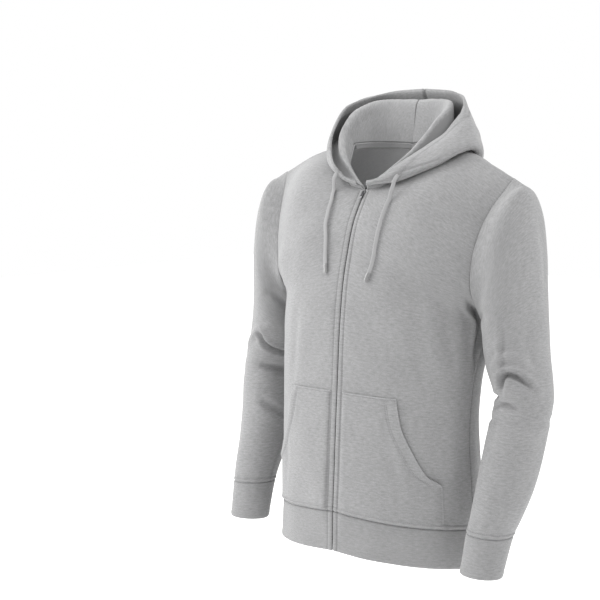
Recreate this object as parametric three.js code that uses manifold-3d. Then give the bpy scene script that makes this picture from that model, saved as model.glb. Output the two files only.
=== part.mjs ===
// A full-zip hooded sweatshirt of brushed fleece, filled out as it is when worn, with no wearer in it.
// Millimetres, +Z up. The front faces -Y and the wearer's left is +X.
// The origin is the middle of the neck, level with the back of the neck.
import * as THREE from 'three';
import { mergeVertices } from 'three/addons/utils/BufferGeometryUtils.js';
import Module from 'manifold-3d';

// ---------------------------------------------------------------- driving sizes
const CLOTH = 2.4;          // wall of the body fleece
const HOOD_CLOTH = 2.0;     // wall of each of the hood's two layers
const POCKET_CLOTH = 2.2;
const SEAM_GAP = 0.3;       // between two pieces at a seam
const LAID_GAP = 0.8;       // between a panel and what lies on it
const ARMHOLE_ROOM = 2.6;   // how far the sleeve's underarm stands off the side of the body
const NECK_RISE = 2.5;      // how far the hood starts above the neck seam
const FOREARM_LIFT = { left: -5, right: 8 };   // the right arm is bent a little more
const CORD_WIDTH = 5;       // across the plain tube of a drawcord
const AGLET_WIDTH = 5.6;
const AGLET_LENGTH = 17;
const TAPE_DEEP = 1.1;      // neck tape
const TAPE_HIGH = 9;
const TAPE_INSIDE = 2.6;    // from the neckline in to the middle of its tape
const ZIP = {
  ridge: 2.6,               // half the width of the closed teeth
  middle: 0.15,             // half the gap between the two tapes
  front: 1.1,               // front of the teeth, and front and back of the tape, from the cloth's middle
  tapeFront: -1.9,
  tapeBack: -3,
  share: 0.045,             // how far across the front the tape reaches
  above: 9,                 // how far the zip runs on above the neck seam
  box: 7,
};
const SLIDER = {
  below: 9.4,               // its middle, below the neck seam
  top: 8.4, waist: 5.6, length: 11, low: 2.3, plate: 1.2,
  bridge: 1.6, bridgeLength: 8.6, bridgeTop: 6.9,
  eye: 6, eyeLow: 3.5, eyeTop: 5.7,
};
const PULL = {
  hinge: 1, high: 4.6, bar: 1.4,
  width: 5, length: 11, corner: 1.2, hole: 2.6, holeLength: 6.3,
};

const ACROSS_FRONT = 9;     // facets from the zip to the side seam
const ROUND_SLEEVE = 20;
const HALF_HOOD = 12;
const CORD_SIDES = 8;
const HOOD_PROFILE = [
  0, 0.125, 0.2, 0.25, 0.3125, 0.375, 0.43, 0.5, 0.57, 0.625, 0.6875, 0.75, 0.81, 0.875, 1,
];

// Rows of the tables below, counted from the hem
const BAND_ROW = 1;
const UNDERARM_ROW = 6;
const NECK_ROW = 9;
const SHOULDER_ROW = 12;
const CUFF_RING = 13;
const ELBOW_RING = 8;

// ---------------------------------------------------------------- colours
const COLOURS = {
  fleece: { color: 0xa9a9a9, roughness: 0.95, metalness: 0 },
  fleece_inside: { color: 0x9b9b9b, roughness: 0.98, metalness: 0 },
  drawcord: { color: 0xb4b4b4, roughness: 0.9, metalness: 0 },
  zip_tape: { color: 0x6d6d70, roughness: 0.8, metalness: 0 },
  gunmetal: { color: 0x4c4c50, roughness: 0.35, metalness: 0.9 },
  clear_tip: { color: 0xc4c4c4, roughness: 0.3, metalness: 0 },
};

// ---------------------------------------------------------------- tables
function table(columns, rows) {
  const names = columns.split(' ');
  return rows.map((row) => Object.fromEntries(names.map((name, k) => [name, row[k]])));
}

// The left half of the front. Each row runs from the zip or the neckline (x0 y0 z0) round to the
// side seam or the armhole (x1 y1 z1). It turns through an arc of `turn` degrees, swells forward
// by `swell` and rises by `lift` at its middle.
const FRONT = table('x0 y0 z0 x1 y1 z1 turn swell lift', [
  [3, -147, -668, 194, -18, -688, 90, 2, 0],      // hem edge
  [3, -146, -603, 191, -18, -626, 90, 2, 0],      // seam of the hem band
  [3, -143, -545, 190, -24, -560, 90, 2, 0],
  [3, -139, -470, 189, -30, -480, 90, 2, 0],
  [3, -134, -390, 190, -22, -400, 90, 3, 0],
  [3, -129, -310, 196, -8, -338, 90, 6, 0],
  [3, -120, -232, 203, 6, -290, 86, 11, 0],       // underarm
  [3, -108, -178, 204, -32, -258, 75, 15, 0],
  [3, -93, -130, 206, -53, -217, 62, 22, 0],
  [3, -61, -77, 209, -50, -181, 50, 31, 5],       // corner of the neckline at the zip
  [30, -57, -72, 214, -40, -145, 40, 24, 18],
  [60, -34, -46, 223, -22, -108, 30, 15, 28],
  [86, 10, -4, 244, 14, -54, 20, 0, 9],           // shoulder seam
]);

// The left half of the back, from its middle or the neckline to the same side seam and armhole
const BACK = table('x0 y0 z0 x1 y1 z1 turn swell lift', [
  [0, 95, -682, 194, -18, -688, 90, 2, 0],
  [0, 93, -616, 191, -18, -626, 90, 2, 0],
  [0, 91, -550, 190, -24, -560, 90, 2, 0],
  [0, 90, -470, 189, -30, -480, 90, 2, 0],
  [0, 95, -390, 190, -22, -400, 90, 3, 0],
  [0, 104, -310, 196, -8, -338, 90, 4, 0],
  [0, 111, -236, 203, 6, -290, 86, 6, 0],
  [0, 112, -186, 203, 46, -252, 72, 6, 0],
  [0, 106, -120, 206, 68, -204, 56, 8, 0],
  [0, 66, -4, 211, 66, -162, 44, 24, 12],
  [42, 61, -2, 219, 58, -124, 36, 15, 20],
  [74, 42, -2, 231, 40, -84, 28, 8, 18],
  [86, 10, -4, 244, 14, -54, 20, 0, 9],
]);

// The left sleeve, ring by ring. (ox oy oz) is a ring's outer point and (ix iy iz) its inner one,
// and `deep` is half its depth from front to back. The first ring is the armhole itself.
const SLEEVE = table('ox oy oz ix iy iz deep', [
  [244, 14, -54, 203, 6, -290, 62],
  [267, 13, -67, 207, 7, -297, 64],
  [283, 13, -96, 210, 7, -303, 66],
  [289, 12, -152, 211, 7, -310, 67],
  [294, 11, -215, 210, 7, -318, 65],
  [301, 10, -285, 207, 8, -332, 61],
  [308, 8, -335, 209, 8, -354, 56],
  [317, 5, -378, 222, 4, -382, 51],
  [321, 2, -408, 234, -1, -402, 47],              // elbow
  [319, -4, -436, 230, -6, -430, 47],
  [313, -14, -482, 223, -16, -478, 47],
  [308, -32, -540, 220, -34, -534, 45],
  [300, -52, -586, 222, -54, -582, 40],
  [294, -63, -610, 221, -64, -607, 36],           // seam of the cuff
  [287, -82, -671, 217, -80, -670, 27],           // edge of the cuff
]);

// The two halves of the hood, lying back, from the zip round to the middle of the back. At each
// station the cloth rises from the neck seam, turns over a crest (f), runs down to the fold that it
// rests on (b) and comes up to the rim (r). The bows bend the collar, the hidden layer and the
// outer wall, and `round` is the height of the crest and of the fold. The left half has slipped
// lower on its shoulder than the right.
const HOOD_COLUMNS = 'fx fy fz bx by bz rx ry rz collar_bow under_bow outer_bow round';
const HOOD = {
  left: table(HOOD_COLUMNS, [
    [7, -65, -70, 10, -70, -67, 13, -73, -60, 0, 0, 0, 4],
    [28, -66, -60, 39, -74, -67, 43, -79, -57, 0, 1, 2, 7],
    [52, -61, -43, 73, -74, -62, 69, -79, -43, 0, 5, 4, 9],
    [77, -32, -11, 112, -60, -41, 101, -34, -7, 0, 7, 5, 8],
    [90, -2, 23, 143, -35, -24, 115, 8, 19, -1, 12, 7, 8],
    [90, 32, 49, 160, 18, -5, 116, 42, 45, -2, 14, 6, 8],
    [76, 66, 67, 121, 91, -32, 100, 76, 72, -2, 13, 4, 8],
    [44, 82, 70, 78, 122, -92, 62, 94, 86, -2, 10, 16, 9],
    [0, 85, 70, 0, 130, -116, 0, 98, 90, -2, 10, 24, 9],
  ]),
  right: table(HOOD_COLUMNS, [
    [7, -65, -70, 10, -70, -67, 13, -73, -60, 0, 0, 0, 4],
    [22, -58, -61, 31, -68, -67, 36, -74, -57, 0, 1, 1, 6],
    [44, -50, -41, 58, -61, -56, 57, -72, -42, 0, 3, 2, 7],
    [79, -29, -10, 91, -40, -31, 97, -39, -11, 0, 3, 4, 8],
    [98, 0, 22, 113, -14, -10, 116, -8, 22, -1, 5, 3, 8],
    [100, 30, 50, 141, 32, -1, 122, 32, 59, -2, 11, 6, 8],
    [81, 68, 68, 122, 92, -34, 100, 78, 79, -2, 12, 8, 8],
    [46, 82, 71, 80, 122, -90, 60, 94, 87, -2, 10, 16, 9],
    [0, 85, 70, 0, 130, -116, 0, 98, 90, -2, 10, 24, 9],
  ]),
};

// The edge of the left pocket away from the zip: `row` is the height in rows of the front,
// `across` the share of the way from the zip to the side seam
const POCKET_EDGE = table('row across', [
  [1, 0.72],
  [2.03, 0.72],
  [2.3, 0.605],
  [2.75, 0.51],
  [3.25, 0.43],
  [3.8, 0.39],
]);
const POCKET_START = 0.03;  // share of the way across where the pocket starts beside the zip

// The drawcords' free ends, from the eyelets in the hood's edge down over the chest
const CORD_LEFT = [
  [81, -81, -51], [79, -84, -59], [76, -84, -68], [72, -84, -78], [69, -84, -88], [66, -88, -98],
  [64, -92, -108], [63, -97, -119], [63, -104, -135], [63, -108, -145], [63, -111, -155],
  [62, -113, -165], [62, -115, -175], [61, -117, -185], [59, -119, -197], [56, -121, -207],
];
const CORD_RIGHT = [
  [-53, -77, -51], [-54, -79, -59], [-55, -78, -68], [-57, -76, -77], [-56, -81, -86],
  [-55, -85, -95], [-55, -91, -107], [-54, -97, -120], [-52, -104, -135], [-47, -109, -152],
  [-44, -113, -168], [-42, -116, -185], [-39, -119, -198],
];
const TIP_LEFT = [51, -124, -222];
const TIP_RIGHT = [-36, -122, -214];

// ---------------------------------------------------------------- curves and surfaces
// A cubic through the rows that never overshoots, so a straight edge stays straight
function slope(before, after) {
  return before * after <= 0 ? 0 : (2 * before * after) / (before + after);
}

function between(values, t) {
  const last = values.length - 1;
  const k = Math.min(Math.floor(t), last - 1);
  const u = t - k;
  const step = (j) => values[j + 1] - values[j];
  const inner = (j) => (j <= 0 || j >= last ? null : slope(step(j - 1), step(j)));
  const start = inner(k) ?? step(k);
  const end = inner(k + 1) ?? step(k);
  const a = 2 * u ** 3 - 3 * u ** 2 + 1;
  const b = u ** 3 - 2 * u ** 2 + u;
  const c = -2 * u ** 3 + 3 * u ** 2;
  const d = u ** 3 - u ** 2;
  return a * values[k] + b * start + c * values[k + 1] + d * end;
}

function rowAt(rows, t) {
  const columns = Object.keys(rows[0]);
  return Object.fromEntries(columns.map((name) => [name, between(rows.map((row) => row[name]), t)]));
}

const RADIANS = Math.PI / 180;

// A point of a body panel, `across` from the middle to the side and `t` rows above the hem
function panelPoint(rows, facing, across, t) {
  const row = rowAt(rows, t);
  const { x1, y1, z1 } = t < UNDERARM_ROW ? rowAt(FRONT, t) : row;
  const turn = row.turn * RADIANS;
  const angle = turn * across;
  const wide = Math.sin(angle) / Math.sin(turn);
  const deep = (1 - Math.cos(angle)) / (1 - Math.cos(turn));
  const bulge = Math.sin(Math.PI * across);
  return new THREE.Vector3(
    row.x0 + (x1 - row.x0) * wide,
    row.y0 + (y1 - row.y0) * deep + facing * row.swell * bulge,
    row.z0 + (z1 - row.z0) * across + row.lift * bulge,
  );
}

const front = (across, t) => panelPoint(FRONT, -1, across, t);
const back = (across, t) => panelPoint(BACK, 1, across, t);

// The neckline, from the zip (0) over the shoulder seam (0.5) to the middle of the back (1)
function neckline(round) {
  const rows = SHOULDER_ROW - NECK_ROW;
  return round <= 0.5
    ? front(0, NECK_ROW + 2 * rows * round)
    : back(0, NECK_ROW + 2 * rows * (1 - round));
}

// The armhole, from the underarm up the front (0 to 0.5) and down the back (0.5 to 1)
function armhole(round) {
  const rows = SHOULDER_ROW - UNDERARM_ROW;
  return round <= 0.5
    ? front(1, UNDERARM_ROW + 2 * rows * round)
    : back(1, UNDERARM_ROW + 2 * rows * (1 - round));
}

function sleeveRing(k, round) {
  if (k === 0) return armhole(round);
  const row = SLEEVE[k];
  const outer = new THREE.Vector3(row.ox, row.oy, row.oz);
  const inner = new THREE.Vector3(row.ix, row.iy, row.iz);
  const angle = 2 * Math.PI * round;
  return outer.clone().add(inner).multiplyScalar(0.5)
    .addScaledVector(outer.sub(inner), -0.5 * Math.cos(angle))
    .add(new THREE.Vector3(0, -row.deep * Math.sin(angle), 0));
}

function sleeve(round, ring) {
  const turn = round - Math.floor(round);
  const points = SLEEVE.map((row, k) => sleeveRing(k, turn));
  const along = (axis) => between(points.map((p) => p[axis]), ring);
  return new THREE.Vector3(along('x'), along('y'), along('z'));
}

// A point part of the way between two others, pushed off the line to the side in their plane
function bowed(from, to, share, outward, bow) {
  const chord = to.clone().sub(from);
  const flat = chord.dot(outward);
  const length = Math.hypot(flat, chord.z);
  const side = outward.clone().multiplyScalar(chord.z).sub(new THREE.Vector3(0, 0, flat));
  return from.clone().lerp(to, share).addScaledVector(side, bow / length);
}

// The two ends of a round fold whose tip points along `tip`
function foldEnds(middle, tip, rise, size) {
  const side = rise.clone().addScaledVector(tip, -rise.dot(tip)).normalize();
  return [-0.5, 0.5].map((share) => middle.clone().addScaledVector(side, share * size));
}

// The profile of half a hood at one station, `up` from the neck seam (0) to the rim (1)
function hood(rows, station, up) {
  const row = rowAt(rows, station);
  const at = (letter) => new THREE.Vector3(row[`${letter}x`], row[`${letter}y`], row[`${letter}z`]);
  const neck = neckline(station / (rows.length - 1));
  const [crest, rest, rim] = ['f', 'b', 'r'].map(at);
  neck.addScaledVector(crest.clone().sub(neck).normalize(), NECK_RISE);
  const outward = new THREE.Vector3(rest.x - neck.x, rest.y - neck.y, 0).normalize();
  const crestTip = crest.clone().sub(neck.clone().lerp(rest, 0.5)).normalize();
  const restTip = rest.clone().sub(crest.clone().lerp(rim, 0.5)).normalize();
  const [inner, outer] = foldEnds(crest, crestTip, outward, row.round);
  const [under, over] = foldEnds(rest, restTip, new THREE.Vector3(0, 0, 1), row.round);
  const curve = new THREE.CatmullRomCurve3([
    neck, bowed(neck, inner, 0.5, outward, row.collar_bow), inner,
    outer, bowed(outer, under, 0.4, outward, row.under_bow), under,
    over, bowed(over, rim, 0.5, outward, row.outer_bow), rim,
  ], false, 'centripetal');
  return curve.getPoint(up);
}

// ---------------------------------------------------------------- walls
// A grid of points on a surface, each with its outward normal
function grid(surface, across, up, side = 1) {
  const reach = 0.004;
  return up.map((t) => across.map((s) => {
    const inside = (v, list) => Math.min(Math.max(v, list[0]), list[list.length - 1]);
    const [s0, s1] = [inside(s - reach, across), inside(s + reach, across)];
    const [t0, t1] = [inside(t - reach, up), inside(t + reach, up)];
    const along = surface(s1, t).sub(surface(s0, t));
    const rise = surface(s, t1).sub(surface(s, t0));
    return { point: surface(s, t), normal: along.cross(rise).normalize().multiplyScalar(side) };
  }));
}

const FLIP = new THREE.Vector3(-1, 1, 1);
const flipped = (point) => point.clone().multiply(FLIP);

function mirrored(cells) {
  return cells.map((row) => row.map(({ point, normal }) => (
    { point: flipped(point), normal: flipped(normal) })));
}

function volume(position, index) {
  const [a, b, c] = [new THREE.Vector3(), new THREE.Vector3(), new THREE.Vector3()];
  let sum = 0;
  for (let k = 0; k < index.length; k += 3) {
    a.fromArray(position, 3 * index[k]);
    b.fromArray(position, 3 * index[k + 1]);
    c.fromArray(position, 3 * index[k + 2]);
    sum += a.dot(b.cross(c));
  }
  return sum;
}

function closedBody(position, index) {
  if (volume(position, index) < 0) index.reverse();
  const geometry = new THREE.BufferGeometry();
  geometry.setAttribute('position', new THREE.Float32BufferAttribute(position, 3));
  geometry.setIndex(index);
  return geometry;
}

// A wall between two offsets from the grid. `ring` closes it round a tube.
function wall(cells, low, high, ring = false) {
  const rows = cells.length;
  const columns = cells[0].length;
  const position = [];
  for (const offset of [high, low]) {
    for (const { point, normal } of cells.flat()) {
      position.push(...point.clone().addScaledVector(normal, offset).toArray());
    }
  }
  const at = (side, j, i) => side * rows * columns + j * columns + (i % columns);
  const index = [];
  const quad = (a, b, c, d) => index.push(a, b, c, a, c, d);
  const spans = ring ? columns : columns - 1;
  for (let j = 0; j < rows - 1; j += 1) {
    for (let i = 0; i < spans; i += 1) {
      quad(at(0, j, i), at(0, j, i + 1), at(0, j + 1, i + 1), at(0, j + 1, i));
      quad(at(1, j, i), at(1, j + 1, i), at(1, j + 1, i + 1), at(1, j, i + 1));
    }
  }
  for (let i = 0; i < spans; i += 1) {
    quad(at(0, 0, i), at(1, 0, i), at(1, 0, i + 1), at(0, 0, i + 1));
    quad(at(0, rows - 1, i), at(0, rows - 1, i + 1), at(1, rows - 1, i + 1), at(1, rows - 1, i));
  }
  const end = columns - 1;
  for (let j = 0; j < rows - 1 && !ring; j += 1) {
    quad(at(0, j, 0), at(0, j + 1, 0), at(1, j + 1, 0), at(1, j, 0));
    quad(at(0, j, end), at(1, j, end), at(1, j + 1, end), at(0, j + 1, end));
  }
  return closedBody(position, index);
}

// A bar of one closed section carried along a list of section rings
function bar(rings) {
  const sides = rings[0].length;
  const position = rings.flat().flatMap((point) => point.toArray());
  const index = [];
  for (let k = 0; k < rings.length - 1; k += 1) {
    for (let i = 0; i < sides; i += 1) {
      const [a, b] = [k * sides + i, k * sides + ((i + 1) % sides)];
      index.push(a, b, b + sides, a, b + sides, a + sides);
    }
  }
  const corners = rings[0].map((point, i) => i);
  for (const [first, turn] of [[0, -1], [(rings.length - 1) * sides, 1]]) {
    for (const [a, b, c] of capTriangles(rings[first / sides], corners)) {
      index.push(first + a, first + (turn > 0 ? b : c), first + (turn > 0 ? c : b));
    }
  }
  return closedBody(position, index);
}

// Triangles of a flat section, found in the plane it lies in
function capTriangles(ring) {
  const normal = new THREE.Vector3();
  ring.forEach((point, i) => normal.add(point.clone().cross(ring[(i + 1) % ring.length])));
  const across = ring[1].clone().sub(ring[0]).normalize();
  const up = normal.normalize().clone().cross(across);
  const flat = ring.map((point) => new THREE.Vector2(point.dot(across), point.dot(up)));
  return THREE.ShapeUtils.triangulateShape(flat, []);
}

function evenly(count, from = 0, to = 1) {
  return Array.from({ length: count + 1 }, (_, k) => from + ((to - from) * k) / count);
}

// Pulls both ends of a list in by half a seam gap, where `spacing` is millimetres for each unit
function pulledIn(list, spacing, first = true, last = true) {
  const gap = SEAM_GAP / 2 / spacing;
  return list.map((v, k) => {
    if (k === 0 && first) return v + gap;
    return k === list.length - 1 && last ? v - gap : v;
  });
}

// ---------------------------------------------------------------- pieces
const sweatshirt = new THREE.Group();
sweatshirt.name = 'hooded_sweatshirt';

function add(name, geometry, colour) {
  const mesh = new THREE.Mesh(geometry, new THREE.MeshStandardMaterial(COLOURS[colour]));
  mesh.name = name;
  sweatshirt.add(mesh);
  return mesh;
}

const SIDE_SPACING = 250;   // millimetres from the middle to the side seam
const ROW_SPACING = 40;     // millimetres from row to row at the shoulder
const bodyRows = pulledIn([
  ...evenly(UNDERARM_ROW - BAND_ROW, BAND_ROW, UNDERARM_ROW).slice(0, -1),
  ...evenly(ROUND_SLEEVE / 2, UNDERARM_ROW, SHOULDER_ROW),
], ROW_SPACING);
const bandRows = pulledIn(evenly(2, 0, BAND_ROW), 65, false);
const bodyAcross = pulledIn(evenly(ACROSS_FRONT), SIDE_SPACING, false);

// Two cells that meet at a seam lean the same way, so their edges lie face to face
function meet(a, b) {
  a.normal.add(b.normal).normalize();
  b.normal.copy(a.normal);
}

function panelCells(rows) {
  const frontCells = grid(front, bodyAcross, rows);
  const backCells = grid(back, bodyAcross, rows, -1);
  rows.forEach((row, j) => {
    if (row < UNDERARM_ROW + 0.1) meet(frontCells[j].at(-1), backCells[j].at(-1));
    if (row > SHOULDER_ROW - 0.1) frontCells[j].forEach((cell, i) => meet(cell, backCells[j][i]));
    if (row < NECK_ROW + 0.1) backCells[j][0].normal.setX(0).normalize();
  });
  return [frontCells, backCells];
}

function addFronts(cells) {
  add('front_left', wall(cells, -CLOTH / 2, CLOTH / 2), 'fleece');
  add('front_right', wall(mirrored(cells), -CLOTH / 2, CLOTH / 2), 'fleece');
}

// Joins a half and its mirror image into one run from the right to the left
function wholeWidth(half) {
  const other = mirrored(half);
  return half.map((row, j) => [...other[j].slice(1).reverse(), ...row]);
}

// The back is one piece up to the neck, where its two halves part along the neckline
function addBack(cells) {
  const neck = bodyRows.filter((row) => row <= NECK_ROW).length;
  const position = [];
  const index = [];
  const place = (cell, offset) => {
    position.push(...cell.point.clone().addScaledVector(cell.normal, offset).toArray());
    return position.length / 3 - 1;
  };
  const faces = [CLOTH / 2, -CLOTH / 2].map((offset) => {
    const left = cells.map((row) => row.map((cell) => place(cell, offset)));
    const right = mirrored(cells).map((row, j) => row.map((cell, i) => (
      i === 0 && j < neck ? left[j][0] : place(cell, offset))));
    return { left, right };
  });
  const last = cells[0].length - 1;
  const top = cells.length - 1;
  for (const half of ['left', 'right']) {
    const [out, inn] = [faces[0][half], faces[1][half]];
    const quad = (a, b, c, d) => index.push(...(half === 'left' ? [a, b, c, a, c, d] : [d, c, b, d, b, a]));
    for (let j = 0; j < top; j += 1) {
      for (let i = 0; i < last; i += 1) {
        quad(out[j][i], out[j][i + 1], out[j + 1][i + 1], out[j + 1][i]);
        quad(inn[j][i], inn[j + 1][i], inn[j + 1][i + 1], inn[j][i + 1]);
      }
      quad(out[j][last], inn[j][last], inn[j + 1][last], out[j + 1][last]);
      if (j >= neck - 1) quad(out[j][0], out[j + 1][0], inn[j + 1][0], inn[j][0]);
    }
    for (let i = 0; i < last; i += 1) {
      quad(out[0][i], inn[0][i], inn[0][i + 1], out[0][i + 1]);
      quad(out[top][i], out[top][i + 1], inn[top][i + 1], inn[top][i]);
    }
  }
  add('back', closedBody(position, index), 'fleece');
}

// The band at the hem runs from one side of the zip round the back to the other
function addHemBand() {
  const [frontCells, backCells] = panelCells(bandRows);
  const half = backCells.map((row, j) => [...row, ...frontCells[j].slice(0, -1).reverse()]);
  add('hem_band', wall(wholeWidth(half), -CLOTH / 2, CLOTH / 2), 'fleece');
}

// The sleeve starts just off the armhole, and furthest off it at the underarm
function sleeveSurface(side) {
  return (round, ring) => {
    const point = sleeve(round, ring);
    const low = Math.max(0, Math.cos(2 * Math.PI * round));
    point.x += (SEAM_GAP + ARMHOLE_ROOM * low) * Math.max(0, 1 - ring);
    point.z += FOREARM_LIFT[side] * Math.max(0, (ring - ELBOW_RING) / (CUFF_RING + 1 - ELBOW_RING));
    return point;
  };
}

function sleeveCells(side, rings) {
  const surface = sleeveSurface(side);
  const reach = 0.01;
  return rings.map((ring) => evenly(ROUND_SLEEVE).slice(0, -1).map((turn) => {
    const [above, below] = [Math.max(ring - reach, 0), Math.min(ring + reach, SLEEVE.length - 1)];
    const along = surface(turn + reach, ring).sub(surface(turn - reach, ring));
    const down = surface(turn, below).sub(surface(turn, above));
    return { point: surface(turn, ring), normal: down.cross(along).normalize() };
  }));
}

// The armhole's edge and the first rings of the sleeves lean the same way
function meetArmhole([frontCells, backCells], rings) {
  const half = ROUND_SLEEVE / 2;
  for (let k = 1; k < ROUND_SLEEVE; k += 1) {
    const row = bodyRows.length - 1 - Math.abs(half - k);
    const edges = [frontCells, backCells].map((cells) => cells[row].at(-1));
    const own = k === half ? edges : [edges[k < half ? 0 : 1]];
    const lean = own[0].normal.clone().add(rings[0][k].normal).normalize();
    [...own, ...rings.map((ring) => ring[k])].forEach((cell) => cell.normal.copy(lean));
  }
}

const SIDES = [['left', (cells) => cells], ['right', mirrored]];

function addSleeves(arms) {
  const cuff = pulledIn(evenly(1, CUFF_RING, CUFF_RING + 1), 55, true, false);
  for (const [side, handed] of SIDES) {
    add(`sleeve_${side}`, wall(handed(arms[side]), -CLOTH / 2, CLOTH / 2, true), 'fleece');
    add(`cuff_${side}`, wall(handed(sleeveCells(side, cuff)), -CLOTH / 2, CLOTH / 2, true), 'fleece');
  }
}

// Each half of the hood is an outer layer and a lining that lie on each other
function addHood() {
  const half = SEAM_GAP / 2;
  for (const [side, handed] of SIDES) {
    const rows = HOOD[side];
    const stations = pulledIn(evenly(HALF_HOOD, 0, rows.length - 1), 40, false);
    const cells = grid((up, station) => hood(rows, station, up), HOOD_PROFILE, stations, -1);
    cells.at(-1).forEach((cell) => cell.normal.setX(0).normalize());
    add(`hood_${side}`, wall(handed(cells), half, half + HOOD_CLOTH), 'fleece');
    add(`hood_lining_${side}`, wall(handed(cells), -half - HOOD_CLOTH, -half), 'fleece_inside');
  }
}

function addPockets() {
  const rows = evenly(9, 0, POCKET_EDGE.length - 1);
  const gapRows = 0.02;
  const low = CLOTH / 2 + LAID_GAP;
  const surface = (share, k) => {
    const edge = rowAt(POCKET_EDGE, k);
    return front(POCKET_START + (edge.across - POCKET_START) * share, edge.row + gapRows);
  };
  const cells = grid(surface, evenly(8), rows);
  add('pocket_left', wall(cells, low, low + POCKET_CLOTH), 'fleece');
  add('pocket_right', wall(mirrored(cells), low, low + POCKET_CLOTH), 'fleece');
}

// The tape that covers the neck seam inside the back of the neck
function addNeckTape() {
  const half = evenly(6, 0.5, 1).map((round) => {
    const middle = neckline(round);
    const inwards = new THREE.Vector3(-middle.x, -middle.y, 0).normalize();
    middle.addScaledVector(inwards, TAPE_INSIDE);
    const corner = (inn, up) => middle.clone().addScaledVector(inwards, inn * TAPE_DEEP)
      .add(new THREE.Vector3(0, 0, up));
    return [corner(-0.5, 1), corner(-0.5, 1 - TAPE_HIGH), corner(0.5, 1 - TAPE_HIGH), corner(0.5, 1)];
  });
  const other = half.slice(0, -1).reverse().map((ring) => ring.map(flipped));
  add('neck_tape', bar([...half, ...other]), 'fleece_inside');
}

// The zip's line at a row of the front: a point, the way up the zip and the way out of the cloth
function zipLine(t, reach = 0.05) {
  const point = front(0, t).setX(0);
  const up = point.clone().sub(front(0, t - reach).setX(0)).normalize();
  return { point, up, out: new THREE.Vector3(0, -up.z, up.y) };
}

function zipCorner({ point, up, out }, x, forward, along = 0) {
  const across = new THREE.Vector3(x, 0, 0);
  return across.add(point).addScaledVector(out, forward).addScaledVector(up, along);
}

function addZip() {
  const bandHigh = FRONT[BAND_ROW].z0 - FRONT[0].z0;
  const boxRow = ZIP.box / bandHigh;
  const rows = [
    boxRow + SEAM_GAP / bandHigh,
    ...evenly(UNDERARM_ROW - 1, 1, UNDERARM_ROW).slice(0, -1),
    ...evenly(5, UNDERARM_ROW, NECK_ROW),
  ];
  const section = (line, [x, forward, along], above = 0) => [
    zipCorner(line, ZIP.middle, ZIP.tapeBack, above), zipCorner(line, x, forward + ZIP.tapeBack, along),
    zipCorner(line, x, forward + ZIP.tapeFront, along), zipCorner(line, ZIP.ridge, ZIP.tapeFront, above),
    zipCorner(line, ZIP.ridge, ZIP.front, above), zipCorner(line, ZIP.middle, ZIP.front, above),
  ];
  const rings = rows.map((row) => {
    const line = zipLine(row);
    const cloth = front(ZIP.share, row).sub(line.point);
    return section(line, [cloth.x, cloth.dot(line.out), cloth.dot(line.up)]);
  });
  const top = zipLine(NECK_ROW);
  rings.push(section(top, [ZIP.ridge + 0.4, 0, ZIP.above], ZIP.above));
  add('zip_tape_left', bar(rings), 'zip_tape');
  add('zip_tape_right', bar(rings.map((ring) => ring.map(flipped))), 'zip_tape');
  const boxRings = [0, boxRow].map((row) => {
    const line = zipLine(Math.max(row, 0.05));
    line.point = front(0, row).setX(0);
    return [[-1, ZIP.tapeBack], [1, ZIP.tapeBack], [1, ZIP.front], [-1, ZIP.front]]
      .map(([side, forward]) => zipCorner(line, side * ZIP.ridge, forward));
  });
  add('zip_box', bar(boxRings), 'gunmetal');
}

const library = await Module();
library.setup();
const { Manifold, Mesh } = library;

// A closed geometry as a solid that can be joined or cut
function solidOf(geometry) {
  geometry.deleteAttribute('normal');
  geometry.deleteAttribute('uv');
  const merged = mergeVertices(geometry);
  return new Manifold(new Mesh({
    numProp: 3,
    vertProperties: merged.getAttribute('position').array,
    triVerts: new Uint32Array(merged.getIndex().array),
  }));
}

// The zip's hard pieces are made flat at the origin, their top to +Y, and put onto the zip's line
function onZip(name, geometry, line) {
  const across = new THREE.Vector3(1, 0, 0);
  const place = new THREE.Matrix4().makeBasis(across, line.up, line.out).setPosition(line.point);
  add(name, geometry.applyMatrix4(place), 'gunmetal');
}

function block(width, length, low, high) {
  return new THREE.BoxGeometry(width, length, high - low).translate(0, 0, (low + high) / 2);
}

function plate(corners, low, thick, hole = []) {
  const loop = (list) => list.map(([x, y]) => new THREE.Vector2(x, y));
  const shape = new THREE.Shape(loop(corners));
  if (hole.length) shape.holes.push(new THREE.Path(loop(hole)));
  return new THREE.ExtrudeGeometry(shape, { depth: thick, bevelEnabled: false }).translate(0, 0, low);
}

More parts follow.
